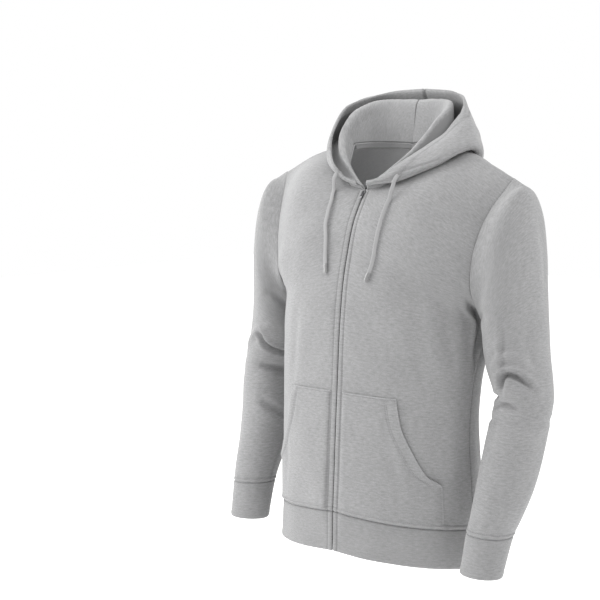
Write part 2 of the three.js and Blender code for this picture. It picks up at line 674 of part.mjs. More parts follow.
function addSlider() {
  const line = zipLine(NECK_ROW, 0.6);
  line.point.addScaledVector(line.up, -SLIDER.below);
  const [wide, waist, high] = [SLIDER.top / 2, SLIDER.waist / 2, SLIDER.length / 2];
  const shield = plate([
    [-waist, -high], [waist, -high], [waist + 0.4, -0.2 * high], [wide, 0.5 * high],
    [0.8 * wide, high], [-0.8 * wide, high], [-wide, 0.5 * high], [-waist - 0.4, -0.2 * high],
  ], SLIDER.low, SLIDER.plate);
  const bridge = block(SLIDER.bridge, SLIDER.bridgeLength, SLIDER.low + 0.5, SLIDER.bridgeTop);
  const eye = block(2 * SLIDER.bridge, SLIDER.eye, SLIDER.eyeLow, SLIDER.eyeTop);
  const slider = solidOf(shield).add(solidOf(bridge).subtract(solidOf(eye))).getMesh();
  onZip('zip_slider', closedBody(Array.from(slider.vertProperties), Array.from(slider.triVerts)), line);
  const [top, half, hole] = [PULL.hinge + PULL.bar / 2, PULL.width / 2, PULL.hole / 2];
  const end = top - PULL.length;
  const holeTop = PULL.hinge - PULL.bar / 2;
  const outline = [
    [-half, end + PULL.corner], [-half + PULL.corner, end], [half - PULL.corner, end],
    [half, end + PULL.corner], [half, top], [-half, top],
  ];
  const opening = [
    [-hole, holeTop - PULL.holeLength], [-hole, holeTop],
    [hole, holeTop], [hole, holeTop - PULL.holeLength],
  ];
  onZip('zip_pull', plate(outline, PULL.high - PULL.bar / 2, PULL.bar, opening), line);
}

// A drawcord's free end and its clear tip
function addCord(side, route, tip) {
  const points = route.map((point) => new THREE.Vector3(...point));
  const path = new THREE.CatmullRomCurve3(points, false, 'centripetal');
  const circle = new THREE.Shape(evenly(CORD_SIDES).slice(0, -1).map((turn) => (
    new THREE.Vector2(CORD_WIDTH / 2, 0).rotateAround(new THREE.Vector2(), 2 * Math.PI * turn))));
  const steps = 2 * route.length;
  add(`drawcord_${side}`, new THREE.ExtrudeGeometry(circle, { steps, extrudePath: path }), 'drawcord');
  const along = new THREE.Vector3(...tip).sub(points.at(-1)).normalize();
  const radius = AGLET_WIDTH / 2;
  const tube = new THREE.CylinderGeometry(radius, radius, AGLET_LENGTH, 12);
  const aglet = add(`aglet_${side}`, tube, 'clear_tip');
  aglet.quaternion.setFromUnitVectors(new THREE.Vector3(0, 1, 0), along);
  aglet.position.copy(points.at(-1)).addScaledVector(along, SEAM_GAP + AGLET_LENGTH / 2);
}

const body = panelCells(bodyRows);
const arm = pulledIn(evenly(CUFF_RING, 0, CUFF_RING), 30, false);
const arms = { left: sleeveCells('left', arm), right: sleeveCells('right', arm) };
meetArmhole(body, [arms.left[0], arms.right[0]]);
addFronts(body[0]);
addBack(body[1]);
addHemBand();
addSleeves(arms);
addHood();
addPockets();
addNeckTape();
addZip();
addSlider();
addCord('left', CORD_LEFT, TIP_LEFT);
addCord('right', CORD_RIGHT, TIP_RIGHT);

export default sweatshirt;
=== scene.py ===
"""A grey fleece hooded sweatshirt with a full-length zip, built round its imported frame."""
import math

import bpy
import numpy as np
from mathutils import Matrix, Vector


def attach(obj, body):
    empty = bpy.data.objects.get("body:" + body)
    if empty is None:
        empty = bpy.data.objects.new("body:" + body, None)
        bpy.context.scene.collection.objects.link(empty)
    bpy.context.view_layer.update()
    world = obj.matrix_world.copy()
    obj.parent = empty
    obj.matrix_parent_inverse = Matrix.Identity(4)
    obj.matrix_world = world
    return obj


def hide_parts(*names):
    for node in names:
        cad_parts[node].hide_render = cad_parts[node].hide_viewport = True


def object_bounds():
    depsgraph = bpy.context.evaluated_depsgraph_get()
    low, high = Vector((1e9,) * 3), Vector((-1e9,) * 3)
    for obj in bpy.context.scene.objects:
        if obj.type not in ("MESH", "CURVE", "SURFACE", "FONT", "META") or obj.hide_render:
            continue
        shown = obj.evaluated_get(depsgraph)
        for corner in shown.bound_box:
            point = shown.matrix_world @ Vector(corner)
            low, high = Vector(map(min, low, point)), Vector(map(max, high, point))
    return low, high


bl_info = {
    "name": "Hooded Sweatshirt",
    "version": (1, 0, 0),
    "blender": (4, 5, 0),
    "location": "View3D > Sidebar > Sweatshirt",
    "description": "Builds the cloth, cords, zip and stage of a fleece hooded sweatshirt",
    "category": "Add Mesh",
}

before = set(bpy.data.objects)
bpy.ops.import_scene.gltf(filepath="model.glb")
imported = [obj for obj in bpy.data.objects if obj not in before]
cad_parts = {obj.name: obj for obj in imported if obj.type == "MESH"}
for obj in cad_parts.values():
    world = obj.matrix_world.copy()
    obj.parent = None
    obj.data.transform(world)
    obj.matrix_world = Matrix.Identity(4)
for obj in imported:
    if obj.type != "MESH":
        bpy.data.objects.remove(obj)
CAD_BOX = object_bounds()
GARMENT = "garment"
MM = 0.001

# ------------------------------------------------------------------ tables, in millimetres
# The left front and the left back, a row for each height from the hem up:
# x0 y0 z0 at the zip or neckline, x1 y1 z1 at the side seam or armhole, turn, swell, lift
FRONT = np.array([
    [3, -147, -668, 194, -18, -688, 90, 2, 0],
    [3, -146, -603, 191, -18, -626, 90, 2, 0],
    [3, -143, -545, 190, -24, -560, 90, 2, 0],
    [3, -139, -470, 189, -30, -480, 90, 2, 0],
    [3, -134, -390, 190, -22, -400, 90, 3, 0],
    [3, -129, -310, 196, -8, -338, 90, 6, 0],
    [3, -120, -232, 203, 6, -290, 86, 11, 0],
    [3, -108, -178, 204, -32, -258, 75, 15, 0],
    [3, -93, -130, 206, -53, -217, 62, 22, 0],
    [3, -61, -77, 209, -50, -181, 50, 31, 5],
    [30, -57, -72, 214, -40, -145, 40, 24, 18],
    [60, -34, -46, 223, -22, -108, 30, 15, 28],
    [86, 10, -4, 244, 14, -54, 20, 0, 9],
], float)
BACK = np.array([
    [0, 95, -682, 194, -18, -688, 90, 2, 0],
    [0, 93, -616, 191, -18, -626, 90, 2, 0],
    [0, 91, -550, 190, -24, -560, 90, 2, 0],
    [0, 90, -470, 189, -30, -480, 90, 2, 0],
    [0, 95, -390, 190, -22, -400, 90, 3, 0],
    [0, 104, -310, 196, -8, -338, 90, 4, 0],
    [0, 111, -236, 203, 6, -290, 86, 6, 0],
    [0, 112, -186, 203, 46, -252, 72, 6, 0],
    [0, 106, -120, 206, 68, -204, 56, 8, 0],
    [0, 66, -4, 211, 66, -162, 44, 24, 12],
    [42, 61, -2, 219, 58, -124, 36, 15, 20],
    [74, 42, -2, 231, 40, -84, 28, 8, 18],
    [86, 10, -4, 244, 14, -54, 20, 0, 9],
], float)
# The left sleeve, ring by ring: its outer point, its inner point and half its depth
SLEEVE = np.array([
    [244, 14, -54, 203, 6, -290, 62],
    [267, 13, -67, 207, 7, -297, 64],
    [283, 13, -96, 210, 7, -303, 66],
    [289, 12, -152, 211, 7, -310, 67],
    [294, 11, -215, 210, 7, -318, 65],
    [301, 10, -285, 207, 8, -332, 61],
    [308, 8, -335, 209, 8, -354, 56],
    [317, 5, -378, 222, 4, -382, 51],
    [321, 2, -408, 234, -1, -402, 47],
    [319, -4, -436, 230, -6, -430, 47],
    [313, -14, -482, 223, -16, -478, 47],
    [308, -32, -540, 220, -34, -534, 45],
    [300, -52, -586, 222, -54, -582, 40],
    [294, -63, -610, 221, -64, -607, 36],
    [287, -82, -671, 217, -80, -670, 27],
], float)
# Half a hood from the zip round to the middle of the back: the crest, the fold that it rests on
# and the rim, the bows of the collar, hidden layer and outer wall, and the round of the folds
HOOD = {
    1: np.array([
        [7, -65, -70, 10, -70, -67, 13, -73, -60, 0, 0, 0, 4],
        [28, -66, -60, 39, -73, -62, 43, -78, -55, 0, 1, 2, 6],
        [52, -61, -43, 73, -74, -57, 69, -79, -42, 0, 5, 4, 9],
        [77, -32, -11, 112, -60, -41, 101, -34, -7, 0, 7, 5, 8],
        [90, -2, 23, 143, -35, -24, 115, 8, 19, -1, 12, 7, 8],
        [90, 32, 49, 160, 18, -5, 116, 42, 45, -2, 14, 6, 8],
        [76, 66, 67, 121, 91, -32, 100, 76, 72, -2, 13, 4, 8],
        [44, 82, 70, 78, 122, -92, 62, 94, 86, -2, 10, 16, 9],
        [0, 85, 70, 0, 130, -116, 0, 98, 90, -2, 10, 24, 9],
    ], float),
    -1: np.array([
        [7, -65, -70, 10, -70, -67, 13, -73, -60, 0, 0, 0, 4],
        [22, -58, -60, 31, -67, -62, 36, -73, -55, 0, 1, 1, 5],
        [44, -50, -41, 58, -61, -52, 57, -72, -41, 0, 3, 2, 7],
        [79, -29, -10, 91, -40, -31, 97, -39, -11, 0, 3, 4, 8],
        [98, 0, 22, 113, -14, -10, 116, -8, 22, -1, 5, 3, 8],
        [100, 30, 50, 141, 32, -1, 122, 32, 59, -2, 11, 6, 8],
        [81, 68, 68, 122, 92, -34, 100, 78, 79, -2, 12, 8, 8],
        [46, 82, 71, 80, 122, -90, 60, 94, 87, -2, 10, 16, 9],
        [0, 85, 70, 0, 130, -116, 0, 98, 90, -2, 10, 24, 9],
    ], float),
}
# The pocket's far edge: height in rows of the front, share of the way to the side seam
POCKET_EDGE = np.array([
    [1, 0.72], [2.03, 0.72], [2.3, 0.605], [2.75, 0.51], [3.25, 0.43], [3.8, 0.39],
], float)
# The cords' free ends and the far ends of their tips
CORD_ROUTES = {
    1: [
        (83, -75, -48), (81, -81, -53), (79, -84, -59), (76, -84, -68), (72, -84, -78), (69, -84, -88),
        (66, -88, -98), (64, -92, -108), (63, -97, -119), (63, -104, -135), (63, -108, -145),
        (63, -111, -155), (62, -113, -165), (62, -115, -175), (61, -117, -185), (59, -119, -197),
        (56, -121, -207),
    ],
    -1: [
        (-52, -71, -48), (-53, -77, -53), (-54, -79, -59), (-55, -78, -68), (-57, -76, -77),
        (-56, -81, -86), (-55, -85, -95), (-55, -91, -107), (-54, -97, -120), (-52, -104, -135),
        (-47, -109, -152), (-44, -113, -168), (-42, -116, -185), (-39, -119, -198),
    ],
}
CORD_TIPS = {1: (51, -124, -222), -1: (-36, -122, -214)}

SIDE = {1: "left", -1: "right"}
BAND_ROW, UNDERARM_ROW, NECK_ROW, SHOULDER_ROW = 1, 6, 9, 12
CUFF_RING, ELBOW_RING = 13, 8
CLOTH, HOOD_CLOTH, POCKET_CLOTH = 2.4, 2.0, 2.2
NECK_RISE = 2.5
STATIONS = 8                # of half a hood, from the zip to the middle of the back
ARMHOLE_ROOM = 2.6
FOREARM_LIFT = {1: -5, -1: 8}
POCKET_START = 0.03
ZIP_SHARE = 0.045

# ------------------------------------------------------------------ curves and surfaces
def even_slopes(values):
    """Slopes for a cubic through evenly spaced values that never overshoots."""
    step = np.diff(values, axis=0)
    slopes = np.zeros_like(values)
    before, after = step[:-1], step[1:]
    product = before * after
    total = np.where(product > 0, before + after, 1)
    slopes[1:-1] = np.where(product > 0, 2 * product / total, 0)
    slopes[0], slopes[-1] = step[0], step[-1]
    return slopes


def cubic(values, t, take, widen):
    """That cubic at each of the heights t, where take() looks up the values at whole heights."""
    slopes = even_slopes(values)
    k = np.clip(np.floor(t).astype(int), 0, len(values) - 2)
    u = (t - k).reshape(t.shape + (1,) * widen)
    return (
        (2 * u**3 - 3 * u**2 + 1) * take(values, k) + (u**3 - 2 * u**2 + u) * take(slopes, k)
        + (3 * u**2 - 2 * u**3) * take(values, k + 1) + (u**3 - u**2) * take(slopes, k + 1)
    )


def between(values, t):
    """The cubic through a table's rows, at each of the heights t."""
    values = np.asarray(values, float)
    return cubic(values, np.asarray(t, float), lambda table, k: table[k], values.ndim - 1)


def pick(stack, t):
    """Like between, where each point has a stack of values of its own."""
    return cubic(stack, t, lambda table, k: np.take_along_axis(table, k[None, ..., None], 0)[0], 1)


def spread(*values):
    """Arrays of numbers of one shape, from numbers or arrays."""
    return np.broadcast_arrays(*(np.asarray(value, float) for value in values))


def hump(x, width):
    return np.exp(-((x / width) ** 2))


def unit(v):
    return v / np.maximum(np.linalg.norm(v, axis=-1, keepdims=True), 1e-9)


def run_along(line):
    """How far along a line of points each of them is."""
    return np.concatenate([[0], np.cumsum(np.linalg.norm(np.diff(line, axis=0), axis=1))])


def at_run(values, run, spots):
    """Values that go with points along a line, at other distances along it."""
    return np.stack([np.interp(spots, run, values[:, k]) for k in range(3)], -1)


def panel(rows, facing, across, t):
    """Points of a body panel, across from the middle to the side and t rows above the hem."""
    across, t = spread(across, t)
    row = between(rows, t)
    low = between(FRONT, t)
    side = np.where((t < UNDERARM_ROW)[..., None], low[..., 3:6], row[..., 3:6])
    turn = np.radians(row[..., 6])
    wide = np.sin(turn * across) / np.sin(turn)
    deep = (1 - np.cos(turn * across)) / (1 - np.cos(turn))
    bulge = np.sin(math.pi * across)
    return np.stack([
        row[..., 0] + (side[..., 0] - row[..., 0]) * wide,
        row[..., 1] + (side[..., 1] - row[..., 1]) * deep + facing * row[..., 7] * bulge,
        row[..., 2] + (side[..., 2] - row[..., 2]) * across + row[..., 8] * bulge,
    ], -1)


def front(across, t):
    return panel(FRONT, -1, across, t)


def back(across, t):
    return panel(BACK, 1, across, t)


def around(round_, low_row, edge):
    """Up the front's edge (0 to 0.5) and down the back's (0.5 to 1)."""
    rows = SHOULDER_ROW - low_row
    up = low_row + 2 * rows * np.minimum(round_, 1 - round_)
    first = (round_ <= 0.5)[..., None]
    return np.where(first, front(edge, up), back(edge, up))


def neckline(round_):
    rows = SHOULDER_ROW - NECK_ROW
    return np.where(
        (round_ <= 0.5)[..., None],
        front(0, NECK_ROW + 2 * rows * np.minimum(round_, 0.5)),
        back(0, NECK_ROW + 2 * rows * (1 - np.maximum(round_, 0.5))),
    )


def sleeve(side):
    """The surface of a sleeve as worn on the wearer's left: round the arm, then along it."""
    def surface(turn, ring):
        turn, ring = spread(turn, ring)
        turn = turn - np.floor(turn)
        angle = 2 * math.pi * turn
        outer, inner = SLEEVE[:, :3], SLEEVE[:, 3:6]
        shape = (len(SLEEVE),) + (1,) * turn.ndim
        rings = (
            ((outer + inner) / 2).reshape(shape + (3,))
            - 0.5 * np.cos(angle)[None, ..., None] * (outer - inner).reshape(shape + (3,))
        )
        rings[..., 1] -= SLEEVE[:, 6].reshape(shape) * np.sin(angle)[None]
        rings[0] = around(turn, UNDERARM_ROW, 1.0)
        point = pick(rings, ring)
        room = np.maximum(0, np.cos(angle)) * ARMHOLE_ROOM
        point[..., 0] += room * np.maximum(0, 1 - ring)
        reach = (ring - ELBOW_RING) / (CUFF_RING + 1 - ELBOW_RING)
        point[..., 2] += FOREARM_LIFT[side] * np.maximum(0, reach)
        return point
    return surface


def centripetal(points, share):
    """A centripetal curve through points (..., n, 3), at a share (...) of its length in points."""
    last = points.shape[-2] - 1
    first = 2 * points[..., :1, :] - points[..., 1:2, :]
    end = 2 * points[..., -1:, :] - points[..., -2:-1, :]
    padded = np.concatenate([first, points, end], -2)
    place = np.clip(share, 0, 1) * last
    k = np.clip(np.floor(place).astype(int), 0, last - 1)
    w = (place - k)[..., None]
    p = [np.take_along_axis(padded, (k + j)[..., None, None], -2)[..., 0, :] for j in range(4)]
    gap = [np.linalg.norm(p[j + 1] - p[j], axis=-1, keepdims=True) ** 0.5 for j in range(3)]
    middle = np.where(gap[1] < 1e-4, 1, gap[1])
    before = np.where(gap[0] < 1e-4, middle, gap[0])
    after = np.where(gap[2] < 1e-4, middle, gap[2])
    t1 = ((p[1] - p[0]) / before - (p[2] - p[0]) / (before + middle) + (p[2] - p[1]) / middle) * middle
    t2 = ((p[2] - p[1]) / middle - (p[3] - p[1]) / (middle + after) + (p[3] - p[2]) / after) * middle
    return (
        p[1] + t1 * w + (-3 * p[1] + 3 * p[2] - 2 * t1 - t2) * w**2
        + (2 * p[1] - 2 * p[2] + t1 + t2) * w**3
    )


def bowed(start, end, share, outward, bow):
    chord = end - start
    flat = (chord * outward).sum(-1, keepdims=True)
    length = np.hypot(flat, chord[..., 2:])
    side = outward * chord[..., 2:] - np.array([0, 0, 1.0]) * flat
    return start + chord * share + side * bow[..., None] / np.maximum(length, 1e-6)


def fold_ends(middle, tip, rise, size):
    side = unit(rise - (rise * tip).sum(-1, keepdims=True) * tip)
    return middle - 0.5 * size[..., None] * side, middle + 0.5 * size[..., None] * side


def hood(side):
    """The middle surface of half a hood: up from the neck seam to the rim, then the station."""
    rows = HOOD[side]

    def surface(up, station):
        up, station = spread(up, station)
        row = between(rows, station)
        crest, rest, rim = row[..., 0:3], row[..., 3:6], row[..., 6:9]
        neck = neckline(station / STATIONS)
        neck = neck + unit(crest - neck) * NECK_RISE
        outward = rest - neck
        outward[..., 2] = 0
        outward = unit(outward)
        crest_tip = unit(crest - (neck + rest) / 2)
        rest_tip = unit(rest - (crest + rim) / 2)
        upright = np.broadcast_to(np.array([0, 0, 1.0]), crest.shape)
        inner, outer = fold_ends(crest, crest_tip, outward, row[..., 12])
        under, over = fold_ends(rest, rest_tip, upright, row[..., 12])
        line = np.stack([
            neck, bowed(neck, inner, 0.5, outward, row[..., 9]), inner,
            outer, bowed(outer, under, 0.4, outward, row[..., 10]), under,
            over, bowed(over, rim, 0.5, outward, row[..., 11]), rim,
        ], -2)
        return centripetal(line, up)
    return surface


def flip(points):
    return points * np.array([-1.0, 1, 1])


def handed(surface, side):
    return surface if side > 0 else (lambda s, t: flip(surface(s, t)))


def band(u, t):
    """The hem band, from one side of the zip (0) round the back (2) to the other (4)."""
    u, t = spread(u, t)
    half = np.where(u <= 2, u, 4 - u)
    ahead, behind = front(np.minimum(half, 1), t), back(np.clip(2 - half, 0, 1), t)
    point = np.where((half <= 1)[..., None], ahead, behind)
    return np.where((u <= 2)[..., None], point, flip(point))


# ------------------------------------------------------------------ folds and seams
# Each fold of a panel: across and height of its start, middle and end, then its width and depth in
# millimetres, and its lean: 0 for a trough between two ridges, up to 1 or -1 for a step to one side
FOLDS = {
    "front_left": [
        (0.54, 6.5, 0.59, 5.2, 0.72, 4.1, 14, -2.4, 0), (0.62, 6.8, 0.68, 5.4, 0.80, 4.3, 10, 2.0, 0),
        (0.76, 7.2, 0.76, 5.8, 0.86, 4.6, 11, -1.6, 0), (0.44, 5.6, 0.52, 4.6, 0.60, 3.9, 13, 1.4, 0),
        (0.38, 3.1, 0.45, 2.4, 0.50, 1.6, 12, -1.7, 0), (0.97, 7.4, 0.86, 7.9, 0.70, 8.1, 11, 1.6, 0.2),
        (0.93, 4.0, 0.90, 3.0, 0.93, 1.8, 14, 1.6, 0), (0.64, 9.9, 0.76, 10.2, 0.88, 10.3, 16, -1.2, 0),
        (0.96, 7.2, 0.915, 6.0, 0.99, 4.4, 8, 12.0, 0),
    ],
    "front_right": [
        (0.34, 5.9, 0.37, 4.8, 0.42, 3.8, 17, 1.6, 0), (0.96, 7.3, 0.82, 7.6, 0.68, 7.4, 11, 1.8, 0.2),
        (0.66, 6.6, 0.70, 5.4, 0.82, 4.4, 13, -1.8, 0), (0.80, 6.4, 0.82, 5.2, 0.90, 4.4, 11, 1.8, 0),
        (0.50, 2.9, 0.46, 2.3, 0.48, 1.6, 13, 1.3, 0),
    ],
    "back_left": [
        (0.24, 9.2, 0.30, 7.2, 0.27, 4.9, 20, 2.2, 0), (0.60, 8.4, 0.58, 6.4, 0.64, 4.6, 17, -2.2, 0),
        (0.95, 7.1, 0.82, 7.0, 0.70, 6.2, 13, 2.2, 0.2), (0.42, 3.6, 0.46, 2.6, 0.52, 1.5, 15, 1.7, 0),
        (0.80, 3.4, 0.76, 2.4, 0.80, 1.5, 13, -1.6, 0), (0.12, 4.2, 0.15, 3.0, 0.12, 1.8, 15, -1.5, 0),
    ],
    "back_right": [
        (0.20, 8.8, 0.25, 7.0, 0.30, 5.2, 21, 2.2, 0), (0.55, 8.6, 0.60, 6.8, 0.58, 5.0, 16, -2.1, 0),
        (0.96, 7.2, 0.84, 6.8, 0.73, 6.0, 12, 2.4, -0.2), (0.35, 4.0, 0.40, 2.9, 0.38, 1.7, 16, 1.8, 0),
        (0.70, 3.8, 0.68, 2.7, 0.72, 1.6, 14, -1.7, 0), (0.90, 4.6, 0.86, 3.6, 0.90, 2.6, 12, 1.6, 0),
    ],
    "sleeve_left": [
        (0.225, 7.3, 0.29, 6.45, 0.41, 7.2, 7.5, 16.0, 0), (0.19, 6.7, 0.29, 5.7, 0.42, 6.4, 9, -4.2, 0),
        (0.12, 8.7, 0.23, 8.1, 0.32, 8.4, 5.5, 7.0, 0), (0.30, 4.5, 0.285, 5.5, 0.27, 6.3, 6, 6.5, 0.5),
        (0.42, 4.9, 0.42, 5.7, 0.43, 6.6, 11, 2.0, 0), (0.03, 7.7, 0.11, 7.9, 0.20, 7.6, 7, 5.0, 0),
        (0.99, 8.9, 0.08, 9.1, 0.16, 9.0, 8, 2.4, 0), (0.62, 6.3, 0.73, 6.75, 0.86, 6.6, 8, 3.6, 0.2),
        (0.68, 7.6, 0.76, 7.9, 0.87, 7.7, 9, 3.0, 0), (0.04, 1.3, 0.14, 2.4, 0.20, 4.2, 10, 2.8, 0),
        (0.94, 1.2, 0.85, 2.4, 0.80, 3.8, 11, 2.8, 0), (0.52, 2.2, 0.55, 3.4, 0.53, 4.8, 17, 1.8, 0),
        (0.28, 10.6, 0.33, 11.5, 0.30, 12.6, 13, 1.6, 0), (0.74, 10.2, 0.70, 11.4, 0.74, 12.6, 13, 1.8, 0),
        (0.53, 8.9, 0.56, 9.9, 0.53, 11.0, 16, -1.8, 0),
    ],
    "sleeve_right": [
        (0.25, 5.75, 0.17, 6.5, -0.06, 6.9, 6, 12, 0.15), (0.17, 5.5, 0.28, 5.9, 0.37, 6.9, 10, -4.5, 0),
        (0.20, 7.7, 0.09, 8.05, -0.06, 8.6, 10, 7.0, 0), (0.18, 9.7, 0.09, 10.0, -0.06, 10.5, 11, 7.0, 0),
        (0.22, 8.9, 0.12, 9.0, -0.02, 9.5, 11, -2.6, 0), (0.62, 6.8, 0.74, 7.2, 0.88, 7.0, 8, 4.0, 0.2),
        (0.60, 8.3, 0.72, 8.6, 0.85, 8.5, 10, 3.2, 0), (0.05, 1.3, 0.14, 2.3, 0.20, 3.9, 10, 2.6, 0),
        (0.93, 1.2, 0.85, 2.5, 0.79, 4.0, 11, 3.0, 0), (0.48, 2.4, 0.50, 3.6, 0.47, 4.9, 17, 1.8, 0),
        (0.70, 10.4, 0.66, 11.5, 0.70, 12.6, 14, 1.8, 0), (0.40, 10.9, 0.42, 11.8, 0.40, 12.7, 12, 1.4, 0),
    ],
    "hood_left": [
        (0.85, 2.1, 0.765, 3.0, 0.76, 4.1, 2.6, 3.2, 0.2), (0.70, 2.3, 0.66, 3.5, 0.58, 5.6, 2.8, 3.2, 0),
        (0.62, 5.6, 0.70, 6.4, 0.66, 7.4, 13, 1.8, 0), (0.20, 3.0, 0.22, 4.4, 0.18, 5.6, 11, 1.5, 0),
        (0.88, 5.0, 0.84, 6.2, 0.87, 7.4, 12, -1.2, 0),
    ],
    "hood_right": [
        (0.84, 2.0, 0.76, 2.9, 0.74, 3.8, 5, 2.2, 0), (0.66, 3.0, 0.62, 4.6, 0.66, 6.2, 11, 2.0, 0),
        (0.70, 6.2, 0.64, 7.0, 0.68, 7.6, 12, -1.5, 0), (0.18, 3.4, 0.22, 4.8, 0.20, 6.2, 11, 1.4, 0),
    ],
}
WAVE_SEED = 11
WAVE_LENGTHS = (150, 118, 92, 74, 61, 52)
WAVE_HEIGHTS = (0.7, 0.6, 0.5, 0.34, 0.26, 0.2)


def wave_table():
    """Directions and phases of the slow waves of soft cloth, the same for every piece."""
    draw = np.random.default_rng(WAVE_SEED)
    heading = unit(draw.normal(size=(len(WAVE_LENGTHS), 3)) * np.array([1, 1, 0.55]))
    phase = draw.uniform(0, 2 * math.pi, len(WAVE_LENGTHS))
    return heading / np.array(WAVE_LENGTHS)[:, None] * 2 * math.pi, phase


WAVE_HEADING, WAVE_PHASE = wave_table()


def waves(point):
    return (np.sin(point @ WAVE_HEADING.T + WAVE_PHASE) * np.array(WAVE_HEIGHTS)).sum(-1)


def fold_path(surface, fold):
    """The fold's line on a surface, bent through its middle point."""
    share = np.linspace(0, 1, 14)[:, None]
    start, middle, end = (np.array(fold[k:k + 2], float) for k in (0, 2, 4))
    pull = 2 * middle - (start + end) / 2
    line = (1 - share) ** 2 * start + 2 * share * (1 - share) * pull + share**2 * end
    return surface(line[:, 0], line[:, 1])


def fold_relief(path, width, depth, lean, point, normal):
    """How far a fold moves each point along its normal."""
    flat = point.reshape(-1, 3)
    out = np.zeros(len(flat))
    low, high = path.min(0) - 3 * width, path.max(0) + 3 * width
    near = np.nonzero(((flat > low) & (flat < high)).all(1))[0]
    if not len(near):
        return out.reshape(point.shape[:-1])
    spot, out_way = flat[near], normal.reshape(-1, 3)[near]
    a, run = path[:-1], np.diff(path, axis=0)
    along = ((spot[:, None] - a) * run).sum(-1) / (run**2).sum(-1)
    held = np.clip(along, 0, 1)
    away = spot[:, None] - (a + held[..., None] * run)
    distance = np.linalg.norm(away, axis=-1)
    best = distance.argmin(1)
    pickers = np.arange(len(near))
    gap = distance[pickers, best] / width
    side = np.sign((np.cross(run[best], away[pickers, best]) * out_way).sum(-1))
    place = (best + held[pickers, best]) / len(a)
    trough = -(1 - 1.5 * gap**2) * np.exp(-gap**2)
    step = -side * gap * np.exp(-gap**2) * 1.7
    taper = np.sin(np.clip(place, 0.02, 0.98) * math.pi) ** 0.7
    out[near] = depth * taper * ((1 - abs(lean)) * trough + lean * step)
    return out.reshape(point.shape[:-1])


def ticks(curve, start, stop, first, last, count):
    """Values from start to stop that fall at set distances beside the two ends, even between."""
    fine = np.linspace(start, stop, 260)
    run = run_along(curve(fine))
    total = run[-1]
    shrink = min(1.0, 0.45 * total / max(first[-1], last[-1], 1e-6))
    first, last = np.array(first) * shrink, np.array(last) * shrink
    inner = np.linspace(first[-1], total - last[-1], count)[1:-1]
    spots = np.concatenate([first, inner, total - last[::-1]])
    return np.interp(spots, run, fine), spots, total


def beside(edge, rows=(), reach=14.0):
    """Distances from an edge, close together at its roll and at each row of stitches."""
    spots = [edge, edge + 0.7, edge + 1.6, edge + 2.8]
    for row in rows:
        spots += [row - 1.5, row - 0.7, row, row + 0.7, row + 1.5]
    spots += [reach * 0.75, reach] if not rows or max(rows) + 3 < reach * 0.75 else [max(rows) + 4]
    spots = sorted(spots)
    kept = [spots[0]]
    for spot in spots[1:]:
        if spot - kept[-1] > 0.45 or spot in rows:
            if spot in rows and spot - kept[-1] < 0.3 and len(kept) > 1:
                kept.pop()
            kept.append(spot)
    return kept


